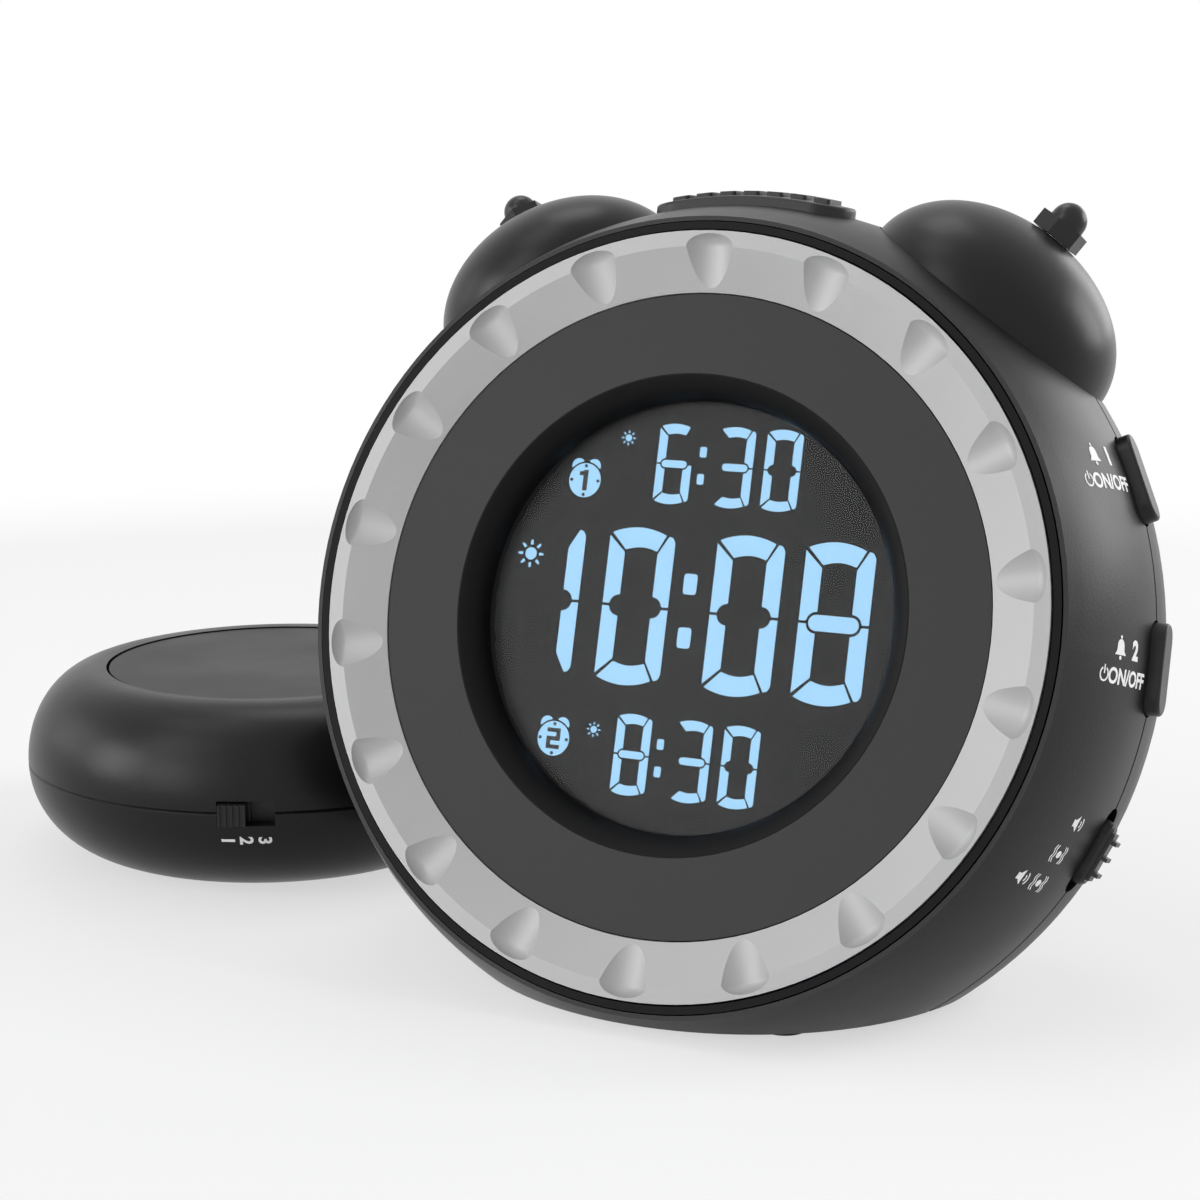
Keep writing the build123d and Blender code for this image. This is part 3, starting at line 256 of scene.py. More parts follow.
@dataclass(frozen=True)
class Finish:
    """A surface finish: colour, gloss and the fine texture of one material."""

    name: str
    colour: Colour
    roughness: float
    metallic: float = 0.0
    grain: float = 0.35 * MM
    grain_depth: float = 0.01 * MM
    patch: float = 30.0 * MM
    colour_shift: float = 0.06
    roughness_shift: float = 0.06
    wear: float = 0.15
    wear_colour: Colour = (0.12, 0.12, 0.125)
    dust: float = 0.0
    dust_colour: Colour = (0.35, 0.34, 0.33)
    specular: float = 0.5
    ior: float = 1.45
    transmission: float = 0.0
    glow: Colour | None = None
    glow_strength: float = 0.0

    def material(self) -> bpy.types.Material:
        """Builds the finish's material, or gives the one already built.

        Returns:
            The material.
        """
        if self.name in bpy.data.materials:
            return bpy.data.materials[self.name]
        made = bpy.data.materials.new(self.name)
        made.use_nodes = True
        wiring = Wiring(made.node_tree)
        shader = made.node_tree.nodes["Principled BSDF"]
        for name, value in (
            ("Metallic", self.metallic),
            ("Specular IOR Level", self.specular),
            ("IOR", self.ior),
            ("Transmission Weight", self.transmission),
        ):
            shader.inputs[name].default_value = value
        grain = wiring.node(
            "ShaderNodeGroup",
            {"Fineness": 1.0 / self.grain, "Patch Fineness": 1.0 / self.patch},
            node_tree=Effects.grain(),
        )
        darker = tuple(c * (1.0 - self.colour_shift) for c in self.colour)
        lighter = tuple(min(1.0, c * (1.0 + self.colour_shift)) for c in self.colour)
        colour = wiring.blend(grain.outputs["Patch"], darker, lighter)
        if self.wear:
            edge = wiring.node(
                "ShaderNodeGroup", {"Width": WEAR_WIDTH}, node_tree=Effects.worn_edge(),
            )
            share = wiring.math("MULTIPLY", edge.outputs["Mask"], self.wear)
            colour = wiring.blend(share, colour, self.wear_colour)
        if self.dust:
            film = wiring.node("ShaderNodeGroup", node_tree=Effects.dust())
            share = wiring.math("MULTIPLY", film.outputs["Mask"], self.dust)
            colour = wiring.blend(share, colour, self.dust_colour)
        made.node_tree.links.new(colour, shader.inputs["Base Color"])
        rough = wiring.spread(
            grain.outputs["Patch"], 0.0, 1.0,
            self.roughness - self.roughness_shift, self.roughness + self.roughness_shift,
        )
        made.node_tree.links.new(rough, shader.inputs["Roughness"])
        if self.grain_depth:
            bump = wiring.out(
                "ShaderNodeBump",
                {"Height": grain.outputs["Height"], "Distance": self.grain_depth},
            )
            made.node_tree.links.new(bump, shader.inputs["Normal"])
        # A glow is real light on the lit segments, and painted light on the display cell, which is
        # no lamp.
        if self.glow:
            shader.inputs["Emission Color"].default_value = (*self.glow, 1.0)
            shader.inputs["Emission Strength"].default_value = self.glow_strength
        return made


class Finishes:
    """Every finish on the clock and its puck."""

    CASE = Finish(
        "satin_black_case", (0.0065, 0.0065, 0.007), 0.38, grain=0.30 * MM,
        grain_depth=0.012 * MM, dust=0.01, specular=0.32, wear_colour=BLACK_WEAR,
    )
    CONTROL = Finish(
        "satin_black_control", (0.006, 0.006, 0.0065), 0.36, grain_depth=0.008 * MM,
        specular=0.4, wear_colour=BLACK_WEAR,
    )
    PUCK = Finish(
        "satin_black_puck", (0.005, 0.005, 0.0055), 0.34, grain=0.30 * MM, dust=0.01,
        specular=0.28, wear_colour=BLACK_WEAR,
    )
    PUCK_DISC = Finish(
        "satin_black_disc", (0.010, 0.010, 0.0105), 0.45, grain=0.4 * MM,
        grain_depth=0.02 * MM, specular=0.3, wear_colour=BLACK_WEAR,
    )
    RING = Finish(
        "silver_grey_ring", (0.42, 0.42, 0.425), 0.5, metallic=0.2, grain=0.15 * MM,
        grain_depth=0.003 * MM, wear_colour=(0.6, 0.6, 0.6), wear=0.3,
    )
    PLATE = Finish(
        "dark_grey_plate", (0.050, 0.050, 0.051), 0.55, grain=0.25 * MM,
        grain_depth=0.008 * MM, specular=0.15, wear=0.0,
    )
    PANEL = Finish(
        "black_panel", (0.005, 0.005, 0.0055), 0.5, grain=0.3 * MM,
        grain_depth=0.006 * MM, specular=0.12, wear_colour=BLACK_WEAR,
    )
    WINDOW = Finish(
        "smoked_window", (0.84, 0.84, 0.855), 0.03, transmission=1.0, grain_depth=0.0,
        colour_shift=0.01, roughness_shift=0.01, wear=0.0, ior=1.12,
    )
    # The cell's faint glow is painted light: a dark cell that is no lamp is made to glow, in place
    # of light falling on it.
    DISPLAY = Finish(
        "display_cell_painted_glow", (0.006, 0.006, 0.0065), 0.35, grain_depth=0.0, wear=0.0, specular=0.1,
        glow=(0.010, 0.010, 0.010), glow_strength=1.0,
    )
    LIT = Finish(
        "lit_segment", (0.02, 0.03, 0.04), 0.4, grain_depth=0.0, wear=0.0,
        glow=(0.36, 0.70, 1.0), glow_strength=1.05,
    )
    UNLIT = Finish("segment_edge", (0.004, 0.004, 0.005), 0.4, grain_depth=0.0, wear=0.0)
    CLOTH = Finish(
        "speaker_cloth", (0.018, 0.018, 0.018), 0.85, grain=0.3 * MM, grain_depth=0.03 * MM,
        wear=0.0,
    )
    INK = Finish(
        "white_ink", (0.93, 0.93, 0.93), 0.5, grain=0.1 * MM, grain_depth=0.002 * MM, wear=0.0,
    )
    BELL = Finish(
        "satin_black_bell", (0.005, 0.005, 0.0055), 0.32, grain=0.2 * MM,
        grain_depth=0.004 * MM, specular=0.28, wear_colour=BLACK_WEAR,
    )
    NUT = Finish(
        "black_nut", (0.008, 0.008, 0.0085), 0.28, grain=0.2 * MM, grain_depth=0.004 * MM,
        specular=0.4, wear_colour=(0.06, 0.06, 0.062),
    )
    STEEL = Finish(
        "zinc_steel", (0.5, 0.5, 0.52), 0.32, metallic=1.0, grain=0.2 * MM,
        grain_depth=0.004 * MM,
    )
    TIN = Finish(
        "tinned_sheet", (0.6, 0.6, 0.58), 0.28, metallic=1.0, grain=0.5 * MM,
        grain_depth=0.004 * MM,
    )
    RUBBER = Finish(
        "foot_rubber", (0.02, 0.02, 0.02), 0.75, grain=0.2 * MM, grain_depth=0.02 * MM,
    )
    SOCKET = Finish("gloss_socket", (0.012, 0.012, 0.013), 0.18, grain_depth=0.0)
    ACRYLIC = Finish(
        "light_guide_acrylic", (0.7, 0.8, 0.88), 0.2, grain_depth=0.0, wear=0.0,
    )
    WHITE = Finish("white_frame", (0.72, 0.72, 0.71), 0.45)
    BOARD = Finish(
        "green_board", (0.012, 0.12, 0.05), 0.28, grain=2.2 * MM, grain_depth=0.02 * MM,
        colour_shift=0.3,
    )
    CHIP = Finish("black_component", (0.02, 0.02, 0.021), 0.5)
    CONE = Finish(
        "pressed_cone", (0.03, 0.03, 0.03), 0.8, grain=0.5 * MM, grain_depth=0.05 * MM,
    )
    MAGNET = Finish("sintered_magnet", (0.07, 0.07, 0.075), 0.6, metallic=0.3)
    CELL = Finish("cell_sleeve", (0.04, 0.09, 0.24), 0.3, metallic=0.2)
    CAST = Finish(
        "cast_weight", (0.28, 0.28, 0.29), 0.55, metallic=0.9, grain=0.8 * MM,
        grain_depth=0.04 * MM,
    )


NODE_FINISHES: dict[Finish, tuple[str, ...]] = {
    Finishes.CASE: (
        "front_case", "rear_cover", "battery_door", "battery_box", "switch_carrier",
    ),
    Finishes.CONTROL: (
        "snooze_button", "alarm_1_button", "alarm_2_button", "mode_switch_knob",
        "time_set_button", "hour_button", "minute_button", "format_button", "volume_wheel",
        "dimmer_wheel", "shaker_switch_knob", "motor_cradle",
    ),
    Finishes.PUCK: ("shaker_lower_shell", "shaker_upper_shell"),
    Finishes.PUCK_DISC: ("shaker_top_disc",),
    Finishes.RING: ("bezel_ring",),
    Finishes.PLATE: ("face_plate",),
    Finishes.PANEL: ("front_panel",),
    Finishes.WINDOW: ("display_lens",),
    Finishes.DISPLAY: ("lcd_panel",),
    Finishes.ACRYLIC: ("light_guide",),
    Finishes.WHITE: ("lcd_frame",),
    Finishes.BOARD: ("main_board", "rear_board", "shaker_board"),
    Finishes.CHIP: (
        "board_parts", "snooze_switch", "alarm_switches", "mode_switch_body", "rear_switches",
        "thumb_pots", "shaker_switch_body",
    ),
    Finishes.BELL: ("left_bell", "right_bell"),
    Finishes.NUT: ("bell_nuts",),
    Finishes.STEEL: ("bell_posts", "case_screws", "shaker_screws"),
    Finishes.TIN: ("speaker_frame", "usb_port", "battery_contacts", "shaker_motor"),
    Finishes.RUBBER: ("rubber_feet", "cord_inlet"),
    Finishes.SOCKET: ("power_jack", "shaker_jack"),
    Finishes.CONE: ("speaker_cone",),
    Finishes.MAGNET: ("speaker_magnet",),
    Finishes.CELL: ("batteries",),
    Finishes.CAST: ("shaker_weight",),
}


def dress_nodes() -> None:
    """Gives every CAD node its finish."""
    for finish, names in NODE_FINISHES.items():
        for name in names:
            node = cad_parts[name]
            node.data.materials.clear()
            node.data.materials.append(finish.material())
        log.info("%s on %s", finish.name, ", ".join(names))


@dataclass(frozen=True)
class Barrel:
    """Where the clock's barrel stands, and its skin."""

    side: float = 37.9 * MM
    back: float = -23.8 * MM
    face_forward: float = 15.0 * MM
    face_height: float = 58.6 * MM
    lean: float = math.radians(16.23)
    radius: float = 65.0 * MM
    widest_depth: float = 29.0 * MM
    front_swell: float = 61.3 * MM

    def at(self, side: float, rise: float, depth: float) -> Vector:
        """A place on the clock in the frame's own coordinates.

        Args:
            side: distance to the right of the face's middle.
            rise: distance above it, along the face.
            depth: distance behind the face.

        Returns:
            The point.
        """
        forward = self.back - self.face_forward
        across = rise * math.sin(self.lean) + depth * math.cos(self.lean)
        up = rise * math.cos(self.lean) - depth * math.sin(self.lean)
        return Vector((self.side + side, forward + across, self.face_height + up))

    def around(self, angle: float, radius: float, depth: float) -> Vector:
        """A place by its angle from the top, clockwise from the front, in radians."""
        return self.at(radius * math.sin(angle), radius * math.cos(angle), depth)

    def backwards(self) -> Vector:
        """The direction of the barrel's axis, away from the face."""
        return self.at(0.0, 0.0, 1.0) - self.at(0.0, 0.0, 0.0)

    def skin(self, depth: float) -> float:
        """The barrel's radius at a depth in front of its widest place."""
        fall = self.widest_depth - depth
        return self.radius - self.front_swell + math.sqrt(self.front_swell**2 - fall**2)


@dataclass(frozen=True)
class Puck:
    """Where the puck stands."""

    side: float = -60.5 * MM
    back: float = 10.4 * MM
    turn: float = math.radians(25.9)
    radius: float = 44.0 * MM
    seam_height: float = 16.1 * MM
    bottom_flat: float = 28.0 * MM

    def around(self, angle: float, radius: float, height: float) -> Vector:
        """A place by its angle from the switch.

        Args:
            angle: the angle to the right as seen from outside, in radians.
            radius: distance from the puck's axis.
            height: distance above the table.

        Returns:
            The point.
        """
        heading = self.turn + angle
        side, back = radius * math.sin(heading), radius * math.cos(heading)
        return Vector((self.side + side, self.back - back, height))

    def skin(self, height: float) -> float:
        """The lower shell's radius at a height.

        Args:
            height: distance above the table.

        Returns:
            The radius.
        """
        drop = (self.seam_height - height) / self.seam_height
        swell = math.sqrt(max(0.0, 1.0 - drop**2))
        return self.bottom_flat + (self.radius - self.bottom_flat) * swell


BARREL = Barrel()
PUCK = Puck()
DOWN = Vector((0.0, 0.0, -1.0))


def add_piece(
    name: str, mesh: Mesh, finish: Finish, body: Body,
) -> bpy.types.Object:
    """Puts a finished mesh into the scene as a piece that rides on a body.

    Args:
        name: the piece's name.
        mesh: its mesh, already in place.
        finish: its finish.
        body: the body that carries it.

    Returns:
        The piece.
    """
    piece = bpy.data.objects.new(name, mesh)
    bpy.context.scene.collection.objects.link(piece)
    mesh.materials.clear()
    mesh.materials.append(finish.material())
    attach(piece, body.value)
    log.info("%s rides on %s", name, body.value)
    return piece


def flat_mesh(name: str, outlines: Sequence[Outline], thickness: float) -> Mesh:
    """A mesh of flat shapes with a thickness, lying on the plane z = 0.

    Args:
        name: the mesh's name.
        outlines: each shape's points, anticlockwise.
        thickness: how far the shapes reach above the plane.

    Returns:
        The mesh.
    """
    work = bmesh.new()
    for outline in outlines:
        corners = [work.verts.new((x, y, 0.0)) for x, y in outline]
        work.faces.new(corners)
    bmesh.ops.remove_doubles(work, verts=work.verts[:], dist=WELD)
    bmesh.ops.triangulate(work, faces=work.faces[:])
    grown = bmesh.ops.extrude_face_region(work, geom=work.faces[:])
    moved = [item for item in grown["geom"] if isinstance(item, bmesh.types.BMVert)]
    bmesh.ops.translate(work, verts=moved, vec=(0.0, 0.0, thickness))
    bmesh.ops.recalc_face_normals(work, faces=work.faces[:])
    # Corners and faces are listed in sorted order, so that every run gives the same mesh.
    places = sorted({vertex.co[:] for vertex in work.verts})
    index = {place: number for number, place in enumerate(places)}
    faces = []
    for face in work.faces:
        corners = [index[vertex.co[:]] for vertex in face.verts]
        first = corners.index(min(corners))
        faces.append(corners[first:] + corners[:first])
    work.free()
    mesh = bpy.data.meshes.new(name)
    mesh.from_pydata(places, [], sorted(faces))
    return mesh


def arc(centre: Point, radius: float, start: float, sweep: float, steps: int) -> Outline:
    """Points along an arc, both ends included, from start over sweep degrees."""
    turns = [math.radians(start + sweep * step / steps) for step in range(steps + 1)]
    return [(centre[0] + radius * math.cos(t), centre[1] + radius * math.sin(t)) for t in turns]


def disc(centre: Point, radius: float, corners: int) -> Outline:
    """The corners of a round shape."""
    return arc(centre, radius, 0.0, 360.0 - 360.0 / corners, corners - 1)


def run_tree(name: str, mesh: Mesh, tree: Tree, values: dict[str, object]) -> Mesh:
    """Runs a geometry node tree on a mesh and keeps the plain result.

    Args:
        name: the name of the mesh that comes out.
        mesh: what goes in.
        tree: the tree.
        values: the tree's named inputs.

    Returns:
        The finished mesh, with no modifier behind it.
    """
    carrier = bpy.data.objects.new(name, mesh)
    bpy.context.scene.collection.objects.link(carrier)
    modifier = carrier.modifiers.new("shape", "NODES")
    modifier.node_group = tree
    for item in tree.interface.items_tree:
        if item.item_type == "SOCKET" and item.in_out == "INPUT" and item.name in values:
            modifier[item.identifier] = values[item.name]
    bpy.context.view_layer.update()
    shaped = carrier.evaluated_get(bpy.context.evaluated_depsgraph_get())
    result = bpy.data.meshes.new_from_object(shaped)
    result.name = name
    bpy.data.objects.remove(carrier)
    return result


class Shaping:
    """Geometry node trees that several pieces share, each built once."""

    WEAVE_REACH = 0.98

    @staticmethod
    @cache
    def print_on_skin() -> Tree:
        """Lays flat marks onto a moulded skin, with the thickness of ink.

        Returns:
            The tree. Its mesh needs a layer attribute, 0 underneath and 1 on top.
        """
        wiring, given = Wiring.group("print_on_skin", "GeometryNodeTree", {
            "Marks": "Geometry", "Skin": "Object", "Heading": "Vector", "Reach": 0.0,
            "Lift": 0.0, "Thickness": 0.0, "Levels": "Int", "Ink": "Material",
        }, {"Print": "Geometry"})
        fine = wiring.out(
            "GeometryNodeSubdivideMesh", {"Mesh": given["Marks"], "Level": given["Levels"]},
        )
        skin = wiring.node(
            "GeometryNodeObjectInfo", {"Object": given["Skin"]}, transform_space="ORIGINAL",
        )
        hit = wiring.node("GeometryNodeRaycast", {
            "Target Geometry": skin.outputs["Geometry"],
            "Source Position": wiring.out("GeometryNodeInputPosition"),
            "Ray Direction": given["Heading"],
            "Ray Length": given["Reach"],
        }).outputs
        layer = wiring.out(
            "GeometryNodeInputNamedAttribute", {"Name": "layer"}, data_type="FLOAT",
        )
        raised = wiring.math("MULTIPLY", layer, given["Thickness"])
        height = wiring.math("ADD", raised, given["Lift"])
        away = wiring.vector("SCALE", {0: hit["Hit Normal"], "Scale": height})
        place = wiring.vector("ADD", {0: hit["Hit Position"], 1: away})
        laid = wiring.out(
            "GeometryNodeSetPosition",
            {"Geometry": fine, "Selection": hit["Is Hit"], "Position": place},
        )
        return Shaping._finish(wiring, laid, given["Ink"])

    @staticmethod
    @cache
    def screw_recess_shade() -> Tree:
        """Puts a dark cross on every screw head of a circle of screws: painted shade that stands
        for the head's cross recess.

        Returns:
            The tree. Its mesh is one vertex for each screw.
        """
        wiring, given = Wiring.group("screw_recess_shade", "GeometryNodeTree", {
            "Screws": "Geometry", "Heading": "Vector", "Length": 0.0, "Width": 0.0,
            "Thickness": 0.0, "Seed": "Int", "Finish": "Material",
        }, {"Crosses": "Geometry"})
        cross = wiring.node("GeometryNodeMeshBoolean", operation="UNION")
        for first, second in (("Length", "Width"), ("Width", "Length")):
            size = wiring.out(
                "ShaderNodeCombineXYZ", {0: given[first], 1: given[second], 2: given["Thickness"]},
            )
            arm = wiring.out("GeometryNodeMeshCube", {"Size": size})
            wiring.tree.links.new(arm, cross.inputs["Mesh"])
        spin = wiring.node(
            "FunctionNodeRandomValue", {"Seed": given["Seed"]}, data_type="FLOAT",
        )
        for socket in spin.inputs:
            if socket.type == "VALUE" and socket.name == "Max":
                socket.default_value = math.pi / 2
        twist = wiring.out(
            "FunctionNodeAxisAngleToRotation", {"Angle": spin.outputs[RANDOM_NUMBER]},
        )
        turned = wiring.out(
            "FunctionNodeRotateRotation",
            {"Rotation": Shaping._facing(wiring, given["Heading"]), "Rotate By": twist},
            rotation_space="LOCAL",
        )
        placed = wiring.out(
            "GeometryNodeInstanceOnPoints",
            {"Points": given["Screws"], "Instance": cross.outputs[0], "Rotation": turned},
        )
        return Shaping._finish(wiring, placed, given["Finish"])

    @staticmethod
    @cache
    def round_weave() -> Tree:
        """A round piece of open weave: threads one way and the other, cut to a circle.

        Returns:
            The tree. Its mesh is one vertex at the cloth's middle.
        """
        wiring, given = Wiring.group("round_weave", "GeometryNodeTree", {
            "Middle": "Geometry", "Radius": 0.0, "Threads": "Int", "Thread": 0.0,
            "Heading": "Vector", "Finish": "Material",
        }, {"Cloth": "Geometry"})
        radius, thread = given["Radius"], given["Thread"]
        both = wiring.node("GeometryNodeJoinGeometry")
        last = wiring.math("SUBTRACT", given["Threads"], 1.0)
        reach = wiring.math("MULTIPLY", radius, 2 * Shaping.WEAVE_REACH)
        step = wiring.out("ShaderNodeCombineXYZ", {1: wiring.math("DIVIDE", reach, last)})
        start = wiring.math("MULTIPLY", radius, -Shaping.WEAVE_REACH)
        for turn, level in ((0.0, 0.5), (math.pi / 2, -0.5)):
            height = wiring.math("MULTIPLY", thread, level)
            low = wiring.out("ShaderNodeCombineXYZ", {1: start, 2: height})
            row = wiring.out(
                "GeometryNodeMeshLine",
                {"Count": given["Threads"], "Start Location": low, "Offset": step},
                mode="OFFSET",
            )
            place = wiring.out("GeometryNodeInputPosition")
            across = wiring.node("ShaderNodeSeparateXYZ", {0: place}).outputs["Y"]
            whole, used = (wiring.math("POWER", length, 2.0) for length in (radius, across))
            spare = wiring.math("MAXIMUM", wiring.math("SUBTRACT", whole, used), 0.0)
            chord = wiring.math("MULTIPLY", wiring.math("SQRT", spare), 2.0)
            size = wiring.out("ShaderNodeCombineXYZ", {0: chord, 1: thread, 2: thread})
            bar = wiring.out("GeometryNodeMeshCube", {"Size": (1.0, 1.0, 1.0)})
            threads = wiring.out(
                "GeometryNodeInstanceOnPoints", {"Points": row, "Instance": bar, "Scale": size},
            )
            turned = wiring.out(
                "GeometryNodeTransform", {"Geometry": threads, "Rotation": (0.0, 0.0, turn)},
            )
            wiring.tree.links.new(turned, both.inputs[0])
        cloth = wiring.out("GeometryNodeGeometryToInstance", {0: both.outputs[0]})
        upright = Shaping._facing(wiring, given["Heading"])
        placed = wiring.out(
            "GeometryNodeInstanceOnPoints",
            {"Points": given["Middle"], "Instance": cloth, "Rotation": upright},
        )
        return Shaping._finish(wiring, placed, given["Finish"])

    @staticmethod
    def _facing(wiring: Wiring, heading: Socket) -> Socket:
        """The rotation that turns the z axis into a heading."""
        return wiring.out("FunctionNodeAlignRotationToVector", {"Vector": heading}, axis="Z")

    @staticmethod
    def _finish(wiring: Wiring, shaped: Socket, finish: Socket) -> Tree:
        """Ends a tree with real geometry and its material.

        Args:
            wiring: the tree's wiring.
            shaped: the geometry.
            finish: the material.

        Returns:
            The tree.
        """
        real = wiring.out("GeometryNodeRealizeInstances", {0: shaped})
        dressed = wiring.out("GeometryNodeSetMaterial", {"Geometry": real, "Material": finish})
        return wiring.result(dressed)


def lettering(text: str, height: float, middle: Point, weight: float) -> list[Outline]:
    """A plain number or letter as flat faces.

    Args:
        text: what it says.
        height: the height of its characters.
        middle: where its middle lies.
        weight: how much bolder its strokes are, as a share of its height.

    Returns:
        The faces' corners, anticlockwise.
    """
    curve = bpy.data.curves.new("lettering", "FONT")
    curve.body = text
    curve.resolution_u = 4
    curve.offset = weight
    holder = bpy.data.objects.new("lettering", curve)
    mesh = bpy.data.meshes.new_from_object(holder)
    xs = [vertex.co.x for vertex in mesh.vertices]
    ys = [vertex.co.y for vertex in mesh.vertices]
    scale = height / (max(ys) - min(ys))
    left, low = (min(xs) + max(xs)) / 2, (min(ys) + max(ys)) / 2
    faces = []
    for polygon in mesh.polygons:
        corners = [mesh.vertices[index].co for index in polygon.vertices]
        faces.append([
            (middle[0] + scale * (c.x - left), middle[1] + scale * (c.y - low)) for c in corners
        ])
    bpy.data.objects.remove(holder)
    bpy.data.curves.remove(curve)
    bpy.data.meshes.remove(mesh)
    return faces


BELL_SKIRT: Outline = [(-0.56, -0.25), (-0.85, -0.6), (0.85, -0.6), (0.56, -0.25)]
HORN: Outline = [
    (-1.0, -0.35), (-0.6, -0.35), (-0.1, -0.8), (-0.1, 0.8), (-0.6, 0.35), (-1.0, 0.35),
]
ZIGZAG: Outline = [(0.0, 0.9), (0.2, 0.45), (0.0, 0.0), (0.2, -0.45), (0.0, -0.9)]
ZIGZAG_SIDES = (0.62, 0.98)
ZIGZAG_HALF_WIDTH = 0.07
POWER_STROKE: Outline = [(-0.1, 0.05), (0.1, 0.05), (0.1, 1.0), (-0.1, 1.0)]


class Sign(Enum):
    """The small pictures printed beside the controls, drawn one unit high from the middle."""

    BELL = "bell"
    SOUND = "sound"
    SHAKE = "shake"
    POWER = "power"

    def shapes(self, middle: Point, size: float) -> list[Outline]:
        """The sign's flat shapes.

        Args:
            middle: where its middle lies.
            size: half its height.

        Returns:
            Its outlines, anticlockwise.
        """
        drawn = {
            Sign.BELL: self._bell, Sign.SOUND: self._sound,
            Sign.SHAKE: self._shake, Sign.POWER: self._power,
        }[self]()
        return [[(middle[0] + size * x, middle[1] + size * y) for x, y in line] for line in drawn]

    @staticmethod
    def _band(radius: float, width: float, start: float, sweep: float) -> Outline:
        """A curved band about the middle."""
        outer = arc((0.0, 0.0), radius + width / 2, start, sweep, 10)
        return outer + arc((0.0, 0.0), radius - width / 2, start + sweep, -sweep, 10)

    @staticmethod
    def _bell() -> list[Outline]:
        """A hand bell with its clapper and knob."""
        dome = arc((0.0, 0.15), 0.52, 0.0, 180.0, 14)
        return [dome + BELL_SKIRT, disc((0.0, -0.82), 0.17, 12), disc((0.0, 0.84), 0.14, 12)]

    @staticmethod
    def _sound() -> list[Outline]:
        """A loudspeaker with two waves."""
        return [HORN, *(Sign._band(radius, 0.16, -48.0, 96.0) for radius in (0.42, 0.82))]

    @staticmethod
    def _shake() -> list[Outline]:
        """A round weight with two zigzags on either side.

        Returns:
            The outlines, anticlockwise.
        """
        shapes = [disc((0.0, 0.0), 0.38, 24)]
        for side in ZIGZAG_SIDES:
            right = [(side + x + ZIGZAG_HALF_WIDTH, y) for x, y in ZIGZAG]
            left = [(side + x - ZIGZAG_HALF_WIDTH, y) for x, y in ZIGZAG]
            shapes.append(right[::-1] + left)
            shapes.append([(-x, -y) for x, y in right[::-1] + left])
        return shapes

    @staticmethod
    def _power() -> list[Outline]:
        """The usual open ring with a stroke."""
        return [Sign._band(0.7, 0.2, 118.0, 304.0), POWER_STROKE]


def printed(
    name: str, shapes: Sequence[Outline], place: Matrix, skin: str, body: Body,
) -> bpy.types.Object:
    """Prints flat shapes onto a node's skin in white ink.

    Args:
        name: the piece's name.
        shapes: the shapes, drawn about the middle of their place.
        place: the plane in front of the skin that they are drawn on, with its z axis
            pointing away from the skin.
        skin: the node that they are printed on.
        body: the body that carries the node.

    Returns:
        The piece.
    """
    mesh = flat_mesh(name, shapes, INK_THICKNESS)
    layer = mesh.attributes.new("layer", "FLOAT", "POINT")
    for vertex, value in zip(mesh.vertices, layer.data):
        value.value = 1.0 if vertex.co.z > INK_THICKNESS / 2 else 0.0
        vertex.co.z = 0.0
    mesh.transform(place)
    heading = place.to_3x3() @ Vector((0.0, 0.0, -1.0))
    values = {
        "Skin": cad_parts[skin], "Heading": heading[:], "Reach": INK_REACH,
        "Lift": INK_LIFT, "Thickness": INK_THICKNESS, "Levels": INK_LEVELS,
        "Ink": Finishes.INK.material(),
    }
    laid = run_tree(name, mesh, Shaping.print_on_skin(), values)
    return add_piece(name, laid, Finishes.INK, body)


@dataclass
class SideMarks:
    """The signs printed on the barrel beside its alarm buttons and mode slider."""

    standoff: float = 3.0 * MM
    button_angles: tuple[float, float] = (65.2, 90.4)
    button_depth: float = 15.0 * MM
    line_rise: float = 2.0 * MM
    line_height: float = 2.9 * MM
    bell_side: float = -2.6 * MM
    bell_share: float = 0.6
    number_side: float = 1.8 * MM
    number_weight: float = 0.05
    power_side: float = -6.2 * MM
    power_share: float = 0.46
    words_side: float = 0.4 * MM
    words_share: float = 0.80
    words_weight: float = 0.03
    mode_angles: tuple[float, float, float] = (111.5, 116.0, 120.4)
    mode_depths: tuple[float, float, float] = (14.6 * MM, 14.0 * MM, 11.6 * MM)
    mode_size: float = 1.5 * MM
    mode_spacing: float = 2.9

    def build(self) -> None:
        """Prints both buttons' signs and the slider's three."""
        rise, height = self.line_rise, self.line_height
        for number, angle in zip("12", self.button_angles):
            shapes = Sign.BELL.shapes((self.bell_side, rise), height * self.bell_share)
            shapes += lettering(number, height, (self.number_side, rise), self.number_weight)
            shapes += Sign.POWER.shapes((self.power_side, -rise), height * self.power_share)
            words = (self.words_side, -rise)
            shapes += lettering("ON/OFF", height * self.words_share, words, self.words_weight)
            self._print(f"alarm_{number}_marks", shapes, angle, self.button_depth)
        signs = ((Sign.SOUND,), (Sign.SHAKE,), (Sign.SOUND, Sign.SHAKE))
        for row, (angle, depth) in enumerate(zip(self.mode_angles, self.mode_depths)):
            shapes = []
            for place, sign in enumerate(signs[row]):
                step = place - (len(signs[row]) - 1) / 2
                side = step * self.mode_size * self.mode_spacing
                shapes += sign.shapes((side, 0.0), self.mode_size)
            self._print(f"mode_marks_{row + 1}", shapes, angle, depth)

    def _print(self, name: str, shapes: list[Outline], angle: float, depth: float) -> None:
        """Prints shapes on the barrel, their x running backwards and y towards the top.

        Args:
            name: the piece's name.
            shapes: the shapes.
            angle: where their middle lies, clockwise from the top, in degrees.
            depth: its distance behind the face.
        """
        turn = math.radians(angle)
        middle = BARREL.around(turn, BARREL.skin(depth) + self.standoff, depth)
        axis = BARREL.backwards()
        outward = BARREL.around(turn, 1.0, 0.0) - BARREL.around(turn, 0.0, 0.0)
        turned = Matrix((axis, outward.cross(axis), outward)).transposed().to_4x4()
        place = Matrix.Translation(middle) @ turned
        printed(name, shapes, place, "front_case", Body.CLOCK)


